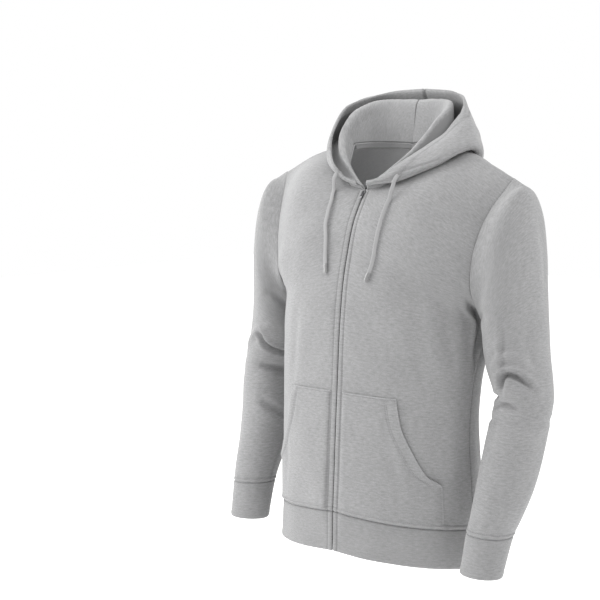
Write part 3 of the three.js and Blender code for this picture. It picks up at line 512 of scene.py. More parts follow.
class Cloth:
    """A sheet of cloth laid on a surface as a lattice of points, with its relief."""

    def __init__(self, surface, outside, across, up, edges, size, thick, lift=0.0, ring=False, middle=0.5,
                 crosswise=False):
        self.surface, self.thick, self.ring, self.outside = surface, thick, ring, outside
        self.crosswise = crosswise
        at = across[0] + (across[1] - across[0]) * middle
        self.t, high, self.high = ticks(lambda t: surface(at, t), *up, edges["down"], edges["up"], size[1])
        rows = []
        for t in self.t:
            if ring:
                s = np.linspace(across[0], across[1], size[0] + 1)
                run = run_along(surface(s, t))
                rows.append((s[:-1], run[:-1], run[-1]))
            else:
                curve = lambda s, t=t: surface(s, t)
                rows.append(ticks(curve, *across, edges["left"], edges["right"], size[0]))
        self.s = np.array([row[0] for row in rows])
        self.left = np.array([row[1] for row in rows])
        self.wide = np.array([row[2] for row in rows])[:, None]
        self.right = self.wide - self.left
        self.down = np.repeat(high[:, None], self.s.shape[1], 1)
        self.up = self.high - self.down
        t = np.repeat(self.t[:, None], self.s.shape[1], 1)
        self.rows = t
        self.point = surface(self.s, t)
        reach_s, reach_t = 0.003 * abs(across[1] - across[0]), 0.003 * abs(up[1] - up[0])
        low_t, high_t = np.maximum(t - reach_t, up[0]), np.minimum(t + reach_t, up[1])
        low_s, high_s = self.s - reach_s, self.s + reach_s
        if not ring:
            low_s, high_s = np.maximum(low_s, across[0]), np.minimum(high_s, across[1])
        along = surface(high_s, t) - surface(low_s, t)
        rise = surface(self.s, high_t) - surface(self.s, low_t)
        self.normal = unit(np.cross(along, rise)) * outside
        self.relief = np.full(self.s.shape, float(lift))
        # wear and shade per point: paler on the rolled edges, as real wear; darker in seams, stitch furrows
        # and hollows, as painted shade
        self.wear_and_shade = np.zeros(self.s.shape)
        self.calm = np.ones(self.s.shape)

    def wave(self, amount):
        self.relief += amount * waves(self.point) * self.calm

    def fold(self, *groups):
        for group in groups:
            side = -1 if group.endswith("right") else 1
            kind = group.split("_")[0]
            for fold in FOLDS[group]:
                path = fold_path(handed(PANELS[kind](side), side), fold)
                width, depth, lean = fold[6:9]
                change = fold_relief(path, width, depth, lean * side, self.point, self.normal)
                self.relief += self.calm * change

    def seam(self, distance, rows=(), dip=1.0, bulk=0.5, reach=9.0, where=1.0, pull=1.1):
        """Dips at a seam, stands up over its allowance and is drawn in at each row of stitches; painted
        shade darkens the dip and each row.
        """
        rise = smooth(distance / 2.5) * (1 - smooth((distance - reach) / 3))
        change = bulk * rise - dip * hump(distance, 1.7)
        # painted shade: the seam's dip and each row of stitches are made darker in colour
        shade = -0.8 * hump(distance, 1.6) * min(dip, 1.0) ** 2
        for row in rows:
            change = change - pull * hump(distance - row, 1.15)
            shade = shade - 0.6 * hump(distance - row, 1.1)
        self.relief += change * where
        self.wear_and_shade += shade * where

    def draw(self, side, amount, reach=9.0, where=1.0):
        """Draws the cloth out past its left or right edge, towards the piece beside it."""
        distance = getattr(self, side)
        edge, inside = (0, 1) if side == "left" else (-1, -2)
        away = unit(self.point[:, edge] - self.point[:, inside])[:, None]
        share = amount * (1 - smooth(distance / reach)) * where
        self.point = self.point + away * share[..., None]

    def face(self, lift):
        return self.point + self.normal * (self.relief + lift)[..., None]

    def outer(self, lift=0.0):
        return self.face(self.thick / 2 + lift)


def smooth(x):
    x = np.clip(x, 0, 1)
    return x * x * (3 - 2 * x)


PANELS = {
    "front": lambda side: front,
    "back": lambda side: back,
    "sleeve": sleeve,
    "hood": hood,
}

# ------------------------------------------------------------------ meshes
# How many points each piece of cloth has across and up, apart from those close beside its edges
LATTICE = {
    "body": (82, 165), "band": (330, 26), "sleeve": (112, 140), "cuff": (112, 24), "hood": (100, 120),
    "lining": (78, 110), "collar": (12, 56), "pocket": (84, 84), "neck_tape": (120, 5), "zip_tape": (8, 150),
}
RIM_STEPS = 3
MERGE = 0.00001             # in metres: points nearer than this become one
SHARP = math.radians(40)


def new_mesh(name, points, faces, face_uv=None, uv=None, attributes=None, slots=None):
    """A mesh object from arrays of points in millimetres and lists of faces."""
    mesh = bpy.data.meshes.new(name)
    points = np.asarray(points, float).reshape(-1, 3) * MM
    mesh.vertices.add(len(points))
    mesh.vertices.foreach_set("co", points.ravel())
    sizes = np.array([len(face) for face in faces])
    corners = np.fromiter((v for face in faces for v in face), int, int(sizes.sum()))
    mesh.loops.add(len(corners))
    mesh.loops.foreach_set("vertex_index", corners)
    mesh.polygons.add(len(faces))
    mesh.polygons.foreach_set("loop_start", np.concatenate([[0], np.cumsum(sizes)[:-1]]))
    mesh.polygons.foreach_set("loop_total", sizes)
    if slots is not None:
        mesh.polygons.foreach_set("material_index", np.asarray(slots, np.int32))
    mesh.update(calc_edges=True)
    if uv is not None:
        layer = mesh.uv_layers.new(name=MAP)
        corner_uv = np.fromiter((v for face in face_uv for v in face), int, int(sizes.sum()))
        layer.data.foreach_set("uv", (np.asarray(uv, float)[corner_uv] * MM).ravel())
    for title, values in (attributes or {}).items():
        layer = mesh.attributes.new(title, "FLOAT", "POINT")
        layer.data.foreach_set("value", np.asarray(values, np.float32).ravel())
    mesh.validate()
    piece = bpy.data.objects.new(name, mesh)
    bpy.context.scene.collection.objects.link(piece)
    smooth_all(piece)
    return piece


def smooth_all(piece):
    piece.data.polygons.foreach_set("use_smooth", [True] * len(piece.data.polygons))
    piece.data.update()


def cloth_mesh(name, cloth, face_look, back_look, left_from=0):
    """The cloth as a closed shell with rolled edges, its face in one finish and its back in another.

    left_from is the first row whose left edge is free.
    """
    rows, columns = cloth.s.shape
    half, count = cloth.thick / 2, rows * columns
    grid = np.arange(count).reshape(rows, columns)
    middle = cloth.face(0.0)
    points = [cloth.face(half).reshape(-1, 3), cloth.face(-half).reshape(-1, 3)]
    maps = [cloth.left - cloth.wide / 2, cloth.down]
    place = np.stack(maps[::-1] if cloth.crosswise else maps, -1)
    # the wear and shade attribute: paler on the rolled edges (real wear), darker where painted shade was
    # laid in seams and hollows
    uv, wear_and_shade = [place.reshape(-1, 2)] * 2, [cloth.wear_and_shade.ravel()] * 2
    faces, face_uv, slots = [], [], []

    def quads(a, b, c, d, slot=0, mapped=None):
        for made, corners in ((faces, (a, b, c, d)), (face_uv, (a, *(mapped or (b, c)), d))):
            made.extend(np.stack(corners, -1).reshape(-1, 4).tolist())
        slots.extend([slot] * (len(faces) - len(slots)))

    def fill(loop):
        for made, value in ((faces, loop), (face_uv, loop), (slots, 0)):
            made.append(value)

    def roll(border, inside):
        """A half-round strip along one border, as rows of vertices from the face to the back."""
        out_way = unit(middle[border] - middle[inside])
        way = cloth.normal[border]
        strip = [grid[border]]
        for angle in np.linspace(0, math.pi, RIM_STEPS + 2)[1:-1]:
            strip.append(np.arange(len(way)) + sum(len(block) for block in points))
            points.append(middle[border] + half * (way * math.cos(angle) + out_way * math.sin(angle)))
            uv.append(place[border])
            wear_and_shade.append(np.ones(len(way)))
        return [*strip, strip[0] + count]

    def close(strip, a, b, turned):
        for one, two in zip(strip, strip[1:]):
            if turned:
                one, two = two, one
            quads(one[a], one[b], two[b], two[a])

    i0 = np.arange(columns if cloth.ring else columns - 1)
    i1 = (i0 + 1) % columns
    here, after = grid[:, i0], grid[:, i1]
    wrap = 2 * (count + RIM_STEPS * columns)    # where a ring's second set of map points starts
    after_uv = np.where(i1 == 0, after + wrap, after)
    quads(here[:-1], after[:-1], after[1:], here[1:], 0, (after_uv[:-1], after_uv[1:]))
    here, after = here + count, after + count
    quads(after[:-1], here[:-1], here[1:], after[1:], 1)
    strips = {}
    for key, j, inside in (("down", 0, 1), ("up", -1, -2)):
        strips[key] = roll((j, slice(None)), (inside, slice(None)))
        close(strips[key], i0, i1, key == "down")
    if not cloth.ring:
        for key, i, inside, start in (("left", 0, 1, left_from), ("right", -1, -2, 0)):
            free = slice(start, None)
            strips[key] = roll((free, i), (free, inside))
            if start:
                last = (start - 1) * columns
                fill([last, *(int(row[0]) for row in strips[key]), last + count])
            close(strips[key], slice(-1), slice(1, None), key == "right")
        for side, end in (("left", 0), ("right", -1)):
            for level, spot in (("down", 0), ("up", -1)):
                if side == "left" and level == "down" and left_from:
                    continue
                loop = [int(strips[side][k][spot]) for k in range(RIM_STEPS + 2)]
                loop += [int(strips[level][k][end]) for k in range(RIM_STEPS, 0, -1)]
                if (side == "left") == (level == "down"):
                    loop.reverse()
                fill(loop)
    uv = np.vstack(uv)
    if cloth.ring:
        extra = uv.copy()
        extra[:count, 0] += np.repeat(cloth.wide[:, 0], columns)
        uv = np.vstack([uv, extra])
    if cloth.outside < 0:
        faces, face_uv = ([face[::-1] for face in made] for made in (faces, face_uv))
    piece = new_mesh(name, np.vstack(points), faces, face_uv, uv, {"wear_and_shade": np.concatenate(wear_and_shade)}, slots)
    piece.data.materials.append(face_look)
    piece.data.materials.append(back_look)
    return piece


def deselect():
    for piece in bpy.context.selected_objects:
        piece.select_set(False)


def join_pieces(name, pieces):
    """Joins pieces into one, which is left selected."""
    deselect()
    for piece in pieces:
        piece.select_set(True)
    bpy.context.view_layer.objects.active = pieces[0]
    if len(pieces) > 1:
        bpy.ops.object.join()
    whole = bpy.context.view_layer.objects.active
    whole.name = whole.data.name = name
    return whole


def edit():
    """Goes into edit mode with the whole piece selected."""
    bpy.ops.object.mode_set(mode="EDIT")
    bpy.ops.mesh.select_all(action="SELECT")


def leave_edit():
    bpy.ops.object.mode_set(mode="OBJECT")


def apply_place():
    bpy.ops.object.transform_apply(location=True, rotation=True, scale=True)


def rounded(piece, width):
    """Rounds a piece's sharp edges, by a width in millimetres."""
    bevel = piece.modifiers.new("Round", "BEVEL")
    bevel.width, bevel.segments, bevel.angle_limit = width * MM, 2, SHARP
    bpy.ops.object.modifier_apply(modifier="Round")


def join_halves(name, pieces):
    """Joins pieces whose edges meet and closes the line between them."""
    whole = join_pieces(name, pieces)
    edit()
    bpy.ops.mesh.remove_doubles(threshold=MERGE)
    leave_edit()
    whole.select_set(False)
    return whole


# A stitch is a short spindle: its ring of sides is set at two places along it
STITCH_SIDES = 5
STITCH_LENGTH, STITCH_RADIUS, STITCH_FLAT = 2.3, 0.34, 0.8
STITCH_SHOULDER = 0.24
THREAD_LIFT = 0.15


def stitch_rows(name, lines, material, pitch):
    """Rows of stitches in one mesh. Each line is its points and the way out of the cloth at each."""
    turn = np.arange(STITCH_SIDES) / STITCH_SIDES * 2 * math.pi
    ring = np.stack([np.cos(turn), np.sin(turn)], -1)
    wide = [(place, *p) for place in (-STITCH_SHOULDER, STITCH_SHOULDER) for p in ring]
    shape = np.array([(-0.5, 0, 0), *wide, (0.5, 0, 0)])
    n = STITCH_SIDES
    pattern = [[0, 1 + (k + 1) % n, 1 + k] for k in range(n)]
    pattern += [[1 + k, 1 + (k + 1) % n, 1 + n + (k + 1) % n, 1 + n + k] for k in range(n)]
    pattern += [[1 + n + k, 1 + n + (k + 1) % n, 2 * n + 1] for k in range(n)]
    places, frames = [], []
    for points, ways in lines:
        run = run_along(points)
        count = int((run[-1] - STITCH_LENGTH) / pitch)
        if count < 1:
            continue
        spots = (run[-1] - (count - 1) * pitch) / 2 + np.arange(count) * pitch
        reach = STITCH_LENGTH / 2
        ahead = unit(at_run(points, run, spots + reach) - at_run(points, run, spots - reach))
        side = unit(np.cross(at_run(ways, run, spots), ahead))
        places.append(at_run(points, run, spots))
        over = np.cross(ahead, side) * STITCH_RADIUS * STITCH_FLAT
        frames.append(np.stack([ahead * STITCH_LENGTH, side * STITCH_RADIUS, over], 1))
    places, frames = np.vstack(places), np.vstack(frames)
    points = places[:, None] + np.einsum("vk,nkc->nvc", shape, frames)
    faces = [[v + k * len(shape) for v in face] for k in range(len(places)) for face in pattern]
    piece = new_mesh(name, points, faces)
    piece.data.materials.append(material)
    return piece


def line_on(cloth, distances, at, rows=slice(None)):
    """The row of points of a cloth that lies at a distance from its left, right, down or up edge."""
    gaps = getattr(cloth, distances)
    face, way = cloth.outer(THREAD_LIFT), cloth.normal
    if distances in ("left", "right"):
        column = np.abs(gaps - at).argmin(1)
        j = np.arange(len(column))[rows]
        return face[j, column[j]], way[j, column[j]]
    row = np.abs(gaps[:, 0] - at).argmin()
    line, out = face[row], way[row]
    if cloth.ring:
        return np.vstack([line, line[:1]]), np.vstack([out, out[:1]])
    return line[rows], out[rows]


# ------------------------------------------------------------------ materials
MAP = "Cloth"               # the map of every piece of cloth: across and along, in metres
# Heather yarn's layers: how fine along and across, detail, roughness and share of the colour
STREAKS = ((105, 380, 1), 3.0, 0.62, 0.60)
FIBRES = ((460, 900, 1), 2.0, 0.6, 0.42)
CLOUDS = ((14, 22, 1), 2.0, 0.55, 0.14)
# The last share is how far the wear and shade attribute moves the colour: paler for real wear, darker for
# painted shade.
YARN_MIDDLE, YARN_CONTRAST, WEAR_AND_SHADE_SHARE = 0.58, 2.1, 0.42
COURSES = 4500.0


class Nodes:
    """Adds nodes to a tree and joins them up."""

    def __init__(self, tree):
        self.tree = tree

    def feed(self, socket, value):
        """Links a socket to another one, or gives it a value of its own."""
        if isinstance(value, bpy.types.NodeSocket):
            self.tree.links.new(value, socket)
        else:
            socket.default_value = value

    def add(self, kind, inputs=None, **settings):
        node = self.tree.nodes.new(kind)
        for name, value in settings.items():
            setattr(node, name, value)
        for socket, value in (inputs or {}).items():
            self.feed(node.inputs[socket], value)
        return node

    def maths(self, operation, *values):
        return self.add("ShaderNodeMath", dict(enumerate(values)), operation=operation).outputs[0]

    def noise(self, where, scale, **more):
        more = {name.capitalize(): value for name, value in more.items()}
        return self.add("ShaderNodeTexNoise", {"Vector": where, "Scale": scale, **more}).outputs[0]

    def mix(self, share, dark, pale):
        return self.add("ShaderNodeMix", {0: share, 6: dark, 7: pale}, data_type="RGBA").outputs[2]

    def relief(self, surface, height, strength, distance):
        bump = self.add("ShaderNodeBump", {"Height": height, "Strength": strength, "Distance": distance})
        self.feed(surface.inputs["Normal"], bump.outputs[0])


def finish(name, values):
    """A new material with its nodes and its surface, whose own sockets are set by name."""
    material = bpy.data.materials.new(name)
    material.use_nodes = True
    nodes = Nodes(material.node_tree)
    surface = material.node_tree.nodes["Principled BSDF"]
    for socket, value in values.items():
        surface.inputs[socket].default_value = value
    return material, nodes, surface


def heather_group():
    """Heather yarn: pale and dark fibres in short streaks along the courses, with the knit's relief."""
    group = bpy.data.node_groups.new("Heather", "ShaderNodeTree")
    vector, colour, number = "NodeSocketVector", "NodeSocketColor", "NodeSocketFloat"
    for name, kind, value in (
        ("Vector", vector, None), ("Pale", colour, None), ("Dark", colour, None),
        ("Wear and shade", number, 0.0), ("Streak", number, 1.0), ("Courses", number, 500.0),
    ):
        made = group.interface.new_socket(name=name, in_out="INPUT", socket_type=kind)
        if value is not None:
            made.default_value = value
    for name, kind in (("Colour", colour), ("Height", number), ("Roughness", number)):
        group.interface.new_socket(name=name, in_out="OUTPUT", socket_type=kind)
    nodes = Nodes(group)
    maths = nodes.maths
    given, end = nodes.add("NodeGroupInput").outputs, nodes.add("NodeGroupOutput").inputs

    def layer(scale, detail, rough):
        stretch = nodes.add("ShaderNodeMapping", {"Vector": given["Vector"], "Scale": scale})
        return nodes.noise(stretch.outputs[0], 1.0, detail=detail, roughness=rough)

    streaks, fibres, clouds = (layer(*kind[:3]) for kind in (STREAKS, FIBRES, CLOUDS))
    total = maths("ADD", maths("MULTIPLY", streaks, STREAKS[3]), maths("MULTIPLY", fibres, FIBRES[3]))
    total = maths("ADD", total, maths("MULTIPLY", clouds, CLOUDS[3]))
    total = maths("MULTIPLY", maths("SUBTRACT", total, YARN_MIDDLE), given["Streak"])
    total = maths("ADD", maths("MULTIPLY", total, YARN_CONTRAST), 0.5)
    # Real wear pales rubbed edges; painted shade darkens seams, stitch furrows and hollows.
    total = maths("ADD", total, maths("MULTIPLY", given["Wear and shade"], WEAR_AND_SHADE_SHARE))
    nodes.feed(end["Colour"], nodes.mix(total, given["Dark"], given["Pale"]))
    place = nodes.add("ShaderNodeSeparateXYZ", {0: given["Vector"]}).outputs
    wale = maths("SINE", maths("MULTIPLY", place[0], given["Courses"]))
    course = maths("SINE", maths("MULTIPLY", place[1], maths("MULTIPLY", given["Courses"], 1.4)))
    knit = maths("MULTIPLY", maths("ADD", maths("ABSOLUTE", wale), maths("ABSOLUTE", course)), 0.25)
    nodes.feed(end["Height"], maths("ADD", knit, maths("MULTIPLY", fibres, 0.7)))
    nodes.feed(end["Roughness"], maths("ADD", maths("MULTIPLY", streaks, 0.12), 0.86))
    return group


def fleece(name, group, pale, dark, streak=1.0, bump=0.0006, strength=0.28, sheen=0.25):
    """Brushed fleece in heather yarn."""
    material, nodes, surface = finish(name, {
        "Sheen Weight": sheen, "Sheen Roughness": 0.55, "Specular IOR Level": 0.2,
    })
    place = nodes.add("ShaderNodeUVMap", uv_map=MAP).outputs[0]
    # The wear and shade attribute: real wear on rubbed edges and painted shade in seams, furrows and
    # hollows.
    wear_and_shade = nodes.add("ShaderNodeAttribute", attribute_name="wear_and_shade").outputs["Fac"]
    yarn = nodes.add("ShaderNodeGroup", node_tree=group)
    for socket, value in (
        ("Vector", place), ("Wear and shade", wear_and_shade), ("Pale", (*pale, 1)), ("Dark", (*dark, 1)),
        ("Streak", streak), ("Courses", COURSES),
    ):
        nodes.feed(yarn.inputs[socket], value)
    nodes.feed(surface.inputs["Base Color"], yarn.outputs["Colour"])
    nodes.feed(surface.inputs["Roughness"], yarn.outputs["Roughness"])
    nodes.relief(surface, yarn.outputs["Height"], strength, bump)
    return material


def plain(name, colour, rough, metal=0.0, grain=180.0, shift=0.12):
    """A finish whose colour and roughness vary a little over the surface."""
    material, nodes, surface = finish(name, {"Metallic": metal})
    where = nodes.add("ShaderNodeTexCoord").outputs["Object"]
    spots = nodes.noise(where, grain, detail=3.0)
    dark, pale = [c * (1 - shift) for c in colour], [min(1, c * (1 + shift)) for c in colour]
    nodes.feed(surface.inputs["Base Color"], nodes.mix(spots, (*dark, 1), (*pale, 1)))
    nodes.feed(surface.inputs["Roughness"], nodes.maths("MULTIPLY_ADD", spots, 0.16, rough - 0.08))
    nodes.relief(surface, spots, 0.15, 0.0002)
    return material


def woven(name, pale, dark, along=900.0, across=1500.0):
    """A braid or tape: slanting yarns that cross, on the piece's own lengthwise map."""
    material, nodes, surface = finish(name, {
        "Roughness": 0.9, "Sheen Weight": 0.15, "Specular IOR Level": 0.2,
    })
    maths = nodes.maths
    place = nodes.add("ShaderNodeUVMap", uv_map=MAP).outputs[0]
    split = nodes.add("ShaderNodeSeparateXYZ", {0: place}).outputs
    lengthwise, crosswise = maths("MULTIPLY", split[1], along * 2), maths("MULTIPLY", split[0], across * 2)
    one, two = (maths("SINE", maths(way, lengthwise, crosswise)) for way in ("ADD", "SUBTRACT"))
    yarn = maths("MULTIPLY_ADD", maths("MULTIPLY", one, two), 0.25, 0.5)
    shade = maths("ADD", maths("MULTIPLY", yarn, 0.6), maths("MULTIPLY", nodes.noise(place, 700.0), 0.4))
    nodes.feed(surface.inputs["Base Color"], nodes.mix(shade, (*dark, 1), (*pale, 1)))
    nodes.relief(surface, yarn, 0.4, 0.0004)
    return material


def clear(name):
    """Clear plastic, grey and scuffed a little."""
    material = plain(name, (0.24, 0.24, 0.24), 0.5, grain=260.0, shift=0.05)
    surface = material.node_tree.nodes["Principled BSDF"]
    for socket, value in (("Transmission Weight", 0.2), ("Specular IOR Level", 0.3), ("IOR", 1.47)):
        surface.inputs[socket].default_value = value
    return material


MATERIALS = {}


def finishes(sizes):
    """The finishes, made once and kept by name."""
    if MATERIALS:
        return MATERIALS
    group = heather_group()
    pale = tuple(sizes.fleece_colour)
    tone = lambda share: tuple(c * share for c in pale)
    MATERIALS.update(
        fleece=fleece("Fleece face", group, tone(1.22), tone(0.62)),
        inside=fleece("Fleece inside", group, tone(1.02), tone(0.62), streak=0.6, bump=0.001, sheen=0.4),
        # The back of the cloth: paler, as brushed fleece is, and paler still as painted light for the inside
        # of the neck, where little light reaches.
        reverse=fleece("Fleece reverse", group, tone(2.6), tone(1.8), streak=0.6, bump=0.001, sheen=0.4),
        # The hood's lining, a little paler than the face as painted light for the hollow of the hood.
        lining=fleece("Hood lining", group, tone(1.28), tone(0.62)),
        rib=fleece("Band knit", group, tone(1.16), tone(0.62), streak=0.9, strength=0.5),
        thread=plain("Sewing thread", tone(1.12), 0.8, grain=900.0),
        cord=woven("Cord braid", tone(1.45), tone(0.95)),
        tape=woven("Zip tape", tone(0.5), tone(0.28), along=1500.0, across=1500.0),
        metal=plain("Gunmetal", (0.14, 0.14, 0.145), 0.4, metal=0.75, grain=420.0),
        teeth=plain("Zip teeth", (0.05, 0.05, 0.053), 0.42, metal=0.6, grain=600.0),
        clear=clear("Clear tip"),
    )
    return MATERIALS


# ------------------------------------------------------------------ settings
class FleeceSettings(bpy.types.PropertyGroup):
    fleece_colour: bpy.props.FloatVectorProperty(
        name="Fleece", description="Middle tone of the heather yarn", subtype="COLOR", size=3,
        default=(0.252, 0.252, 0.254), min=0, max=1)
    unevenness: bpy.props.FloatProperty(
        name="Unevenness", description="How strongly the soft cloth waves between its folds",
        default=0.8, min=0, max=3)
    stitch_pitch: bpy.props.FloatProperty(
        name="Stitch", description="From one stitch to the next, in millimetres",
        default=3.0, min=1, max=6)


class TrimSettings(bpy.types.PropertyGroup):
    cord_width: bpy.props.FloatProperty(
        name="Cord width", description="Across the flat drawcord, in millimetres",
        default=6.4, min=3, max=8)
    cord_thick: bpy.props.FloatProperty(
        name="Cord thickness", description="Through the flat drawcord, in millimetres",
        default=3.2, min=1.5, max=5)
    tooth_pitch: bpy.props.FloatProperty(
        name="Tooth pitch", description="From one tooth to the next on a side, in millimetres",
        default=2.5, min=1.5, max=4)


class StageSettings(bpy.types.PropertyGroup):
    backdrop: bpy.props.FloatVectorProperty(
        name="Backdrop", description="Colour of the floor and wall", subtype="COLOR", size=3,
        default=(0.93, 0.93, 0.93), min=0, max=1)
    floor_drop: bpy.props.FloatProperty(
        name="Floor drop", description="From the hem down to the floor", unit="LENGTH",
        default=0.35, min=0.05, max=1)
    key: bpy.props.FloatProperty(
        name="Key light", description="Power of the large light in front", unit="POWER",
        default=60, min=0)


def kit(context):
    """The fleece's settings and the finishes."""
    sizes = context.scene.sweatshirt_fleece
    return sizes, finishes(sizes)


def settle(piece, slot, *nodes):
    """Puts a finished piece on the garment, in place of the frame's own solids."""
    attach(piece, GARMENT)
    if nodes:
        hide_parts(*nodes)
    return piece


def sew(name, lines, sizes, look, slot="fleece"):
    """Adds rows of stitches as a piece of their own."""
    settle(stitch_rows(name, lines, look["thread"], sizes.stitch_pitch), slot)


# ------------------------------------------------------------------ camera, light and stage
CAMERA_AZIMUTH = 39.0
CAMERA_DISTANCE = 2.7
CAMERA_HEIGHT = 0.045
CAMERA_LENS = 95.92
CAMERA_TURN = (2.121, 4.43, -0.143)     # to the right of the middle, down, and rolled, in degrees
CAMERA_SHIFT = (-0.05, -0.10)


class SWEATSHIRT_OT_camera(bpy.types.Operator):
    """Adds the camera in front of the wearer's left side"""
    bl_idname = "sweatshirt.camera"
    bl_label = "Camera"

    def execute(self, context):
        azimuth = math.radians(CAMERA_AZIMUTH)
        turn, down, roll = (math.radians(v) for v in CAMERA_TURN)
        lens = bpy.data.cameras.new("Camera")
        lens.lens = CAMERA_LENS
        lens.sensor_width = 36
        lens.shift_x, lens.shift_y = CAMERA_SHIFT
        camera = bpy.data.objects.new("Camera", lens)
        context.scene.collection.objects.link(camera)
        place = Vector((
            CAMERA_DISTANCE * math.sin(azimuth), -CAMERA_DISTANCE * math.cos(azimuth), CAMERA_HEIGHT,
        ))
        heading = Matrix.Rotation(azimuth + turn, 4, "Z") @ Matrix.Rotation(math.pi / 2 - down, 4, "X")
        camera.matrix_world = Matrix.Translation(place) @ heading @ Matrix.Rotation(roll, 4, "Z")
        context.scene.camera = camera
        return {"FINISHED"}


def area_light(name, place, target, size, power):
    light = bpy.data.lights.new(name, "AREA")
    light.shape, light.size, light.size_y = "RECTANGLE", size[0], size[1]
    light.energy = power
    holder = bpy.data.objects.new(name, light)
    bpy.context.scene.collection.objects.link(holder)
    holder.location = place
    holder.rotation_euler = (Vector(target) - Vector(place)).to_track_quat("-Z", "Y").to_euler()
    return holder


class SWEATSHIRT_OT_stage(bpy.types.Operator):
    """Adds the pale floor, the soft lights and the white surroundings"""
    bl_idname = "sweatshirt.stage"
    bl_label = "Stage"

    def execute(self, context):
        stage = context.scene.sweatshirt_stage
        low = CAD_BOX[0][2] - stage.floor_drop
        deselect()
        bpy.ops.mesh.primitive_plane_add(size=14, location=(0, 0, low))
        floor = context.active_object
        floor.name = floor.data.name = "stage_floor"
        material, nodes, surface = finish("Stage", {
            "Roughness": 0.9, "Specular IOR Level": 0.1,
            "Emission Color": (1, 1, 1, 1), "Emission Strength": 0.35,
        })
        where = nodes.add("ShaderNodeTexCoord").outputs["Object"]
        shade = [c * 0.99 for c in stage.backdrop]
        tone = nodes.mix(nodes.noise(where, 3.0), (*shade, 1), (*stage.backdrop, 1))
        nodes.feed(surface.inputs["Base Color"], tone)
        floor.data.materials.append(material)
        apply_place()
        floor.select_set(False)
        azimuth = math.radians(CAMERA_AZIMUTH)

        def spot(turn, reach, high):
            """A place round the garment, turned from the camera's side, in degrees."""
            a = azimuth + math.radians(turn)
            return (reach * math.sin(a), -reach * math.cos(a), high)

        area_light("Key", spot(-94, 2.4, 1.1), (0, 0, -0.2), (1.5, 1.8), stage.key * 1.1)
        area_light("Fill", spot(62, 1.9, 1.5), (0, 0, -0.1), (1.3, 1.3), stage.key * 0.48)
        area_light("Top", (-0.2, -0.5, 2.2), (0, 0.05, -0.1), (1.2, 1.2), stage.key * 0.2)
        area_light("Back", spot(205, 2.6, 1.0), (0, 0, -0.3), (1.8, 1.4), stage.key * 0.3)
        world = context.scene.world or bpy.data.worlds.new("World")
        context.scene.world = world
        world.use_nodes = True
        sky = world.node_tree.nodes["Background"]
        sky.inputs["Color"].default_value = (1, 1, 1, 1)
        sky.inputs["Strength"].default_value = 1.0
        context.scene.view_settings.view_transform = "Standard"
        context.scene.view_settings.look = "None"
        return {"FINISHED"}


# ------------------------------------------------------------------ cords
CORD_SIDES, TIP_SIDES = 16, 20
TIP_WIDTH, TIP_THICK = 6.6, 4.6
# Along the tip, in millimetres, and its share of the full width there
TIP_SHAPE = (
    (0, 0.78), (0.25, 0.9), (0.7, 0.97), (1.4, 1), (3, 1), (6, 1), (9, 0.99), (12, 0.98), (14.6, 0.96),
    (15.8, 0.9), (16.6, 0.74), (16.9, 0.4),
)
CORD_FACING = {1: (0.62, -0.78, 0.05), -1: (0.30, -0.95, 0.05)}


def flat_tube(name, path, widths, thicks, facing, sides, power=2.6):
    """A closed tube of rounded flat section along a path, its broad side facing one way."""
    ahead = unit(np.gradient(path, axis=0))
    out = unit(facing - (facing * ahead).sum(-1, keepdims=True) * ahead)
    side = np.cross(ahead, out)
    turn = np.arange(sides) / sides * 2 * math.pi
    round_ = lambda v: np.sign(v) * np.abs(v) ** (2 / power)
    x, y = round_(np.cos(turn)), round_(np.sin(turn))
    ring = (
        path[:, None] + side[:, None] * (x[None, :, None] * widths[:, None, None] / 2)
        + out[:, None] * (y[None, :, None] * thicks[:, None, None] / 2)
    )
    rows = len(path)
    run = run_along(path)
    points = np.vstack([ring.reshape(-1, 3), path[:1], path[-1:]])
    girth = np.arange(sides + 1) / sides * 2.3 * widths.max()
    uv = np.stack(np.broadcast_arrays(girth[None, :], run[:, None]), -1).reshape(-1, 2)
    uv = np.vstack([uv, [[0, 0], [0, run[-1]]]])
    faces, face_uv = [], []
    last = rows - 1
    for wide, made in ((sides, faces), (sides + 1, face_uv)):
        loop = [(i, (i + 1) % wide) for i in range(sides)]
        for j in range(last):
            low, high = j * wide, (j + 1) * wide
            made += [[low + i, low + n, high + n, high + i] for i, n in loop]
        for i, n in loop:
            made += [[rows * wide, n, i], [rows * wide + 1, last * wide + i, last * wide + n]]
    return new_mesh(name, points, faces, face_uv, uv)


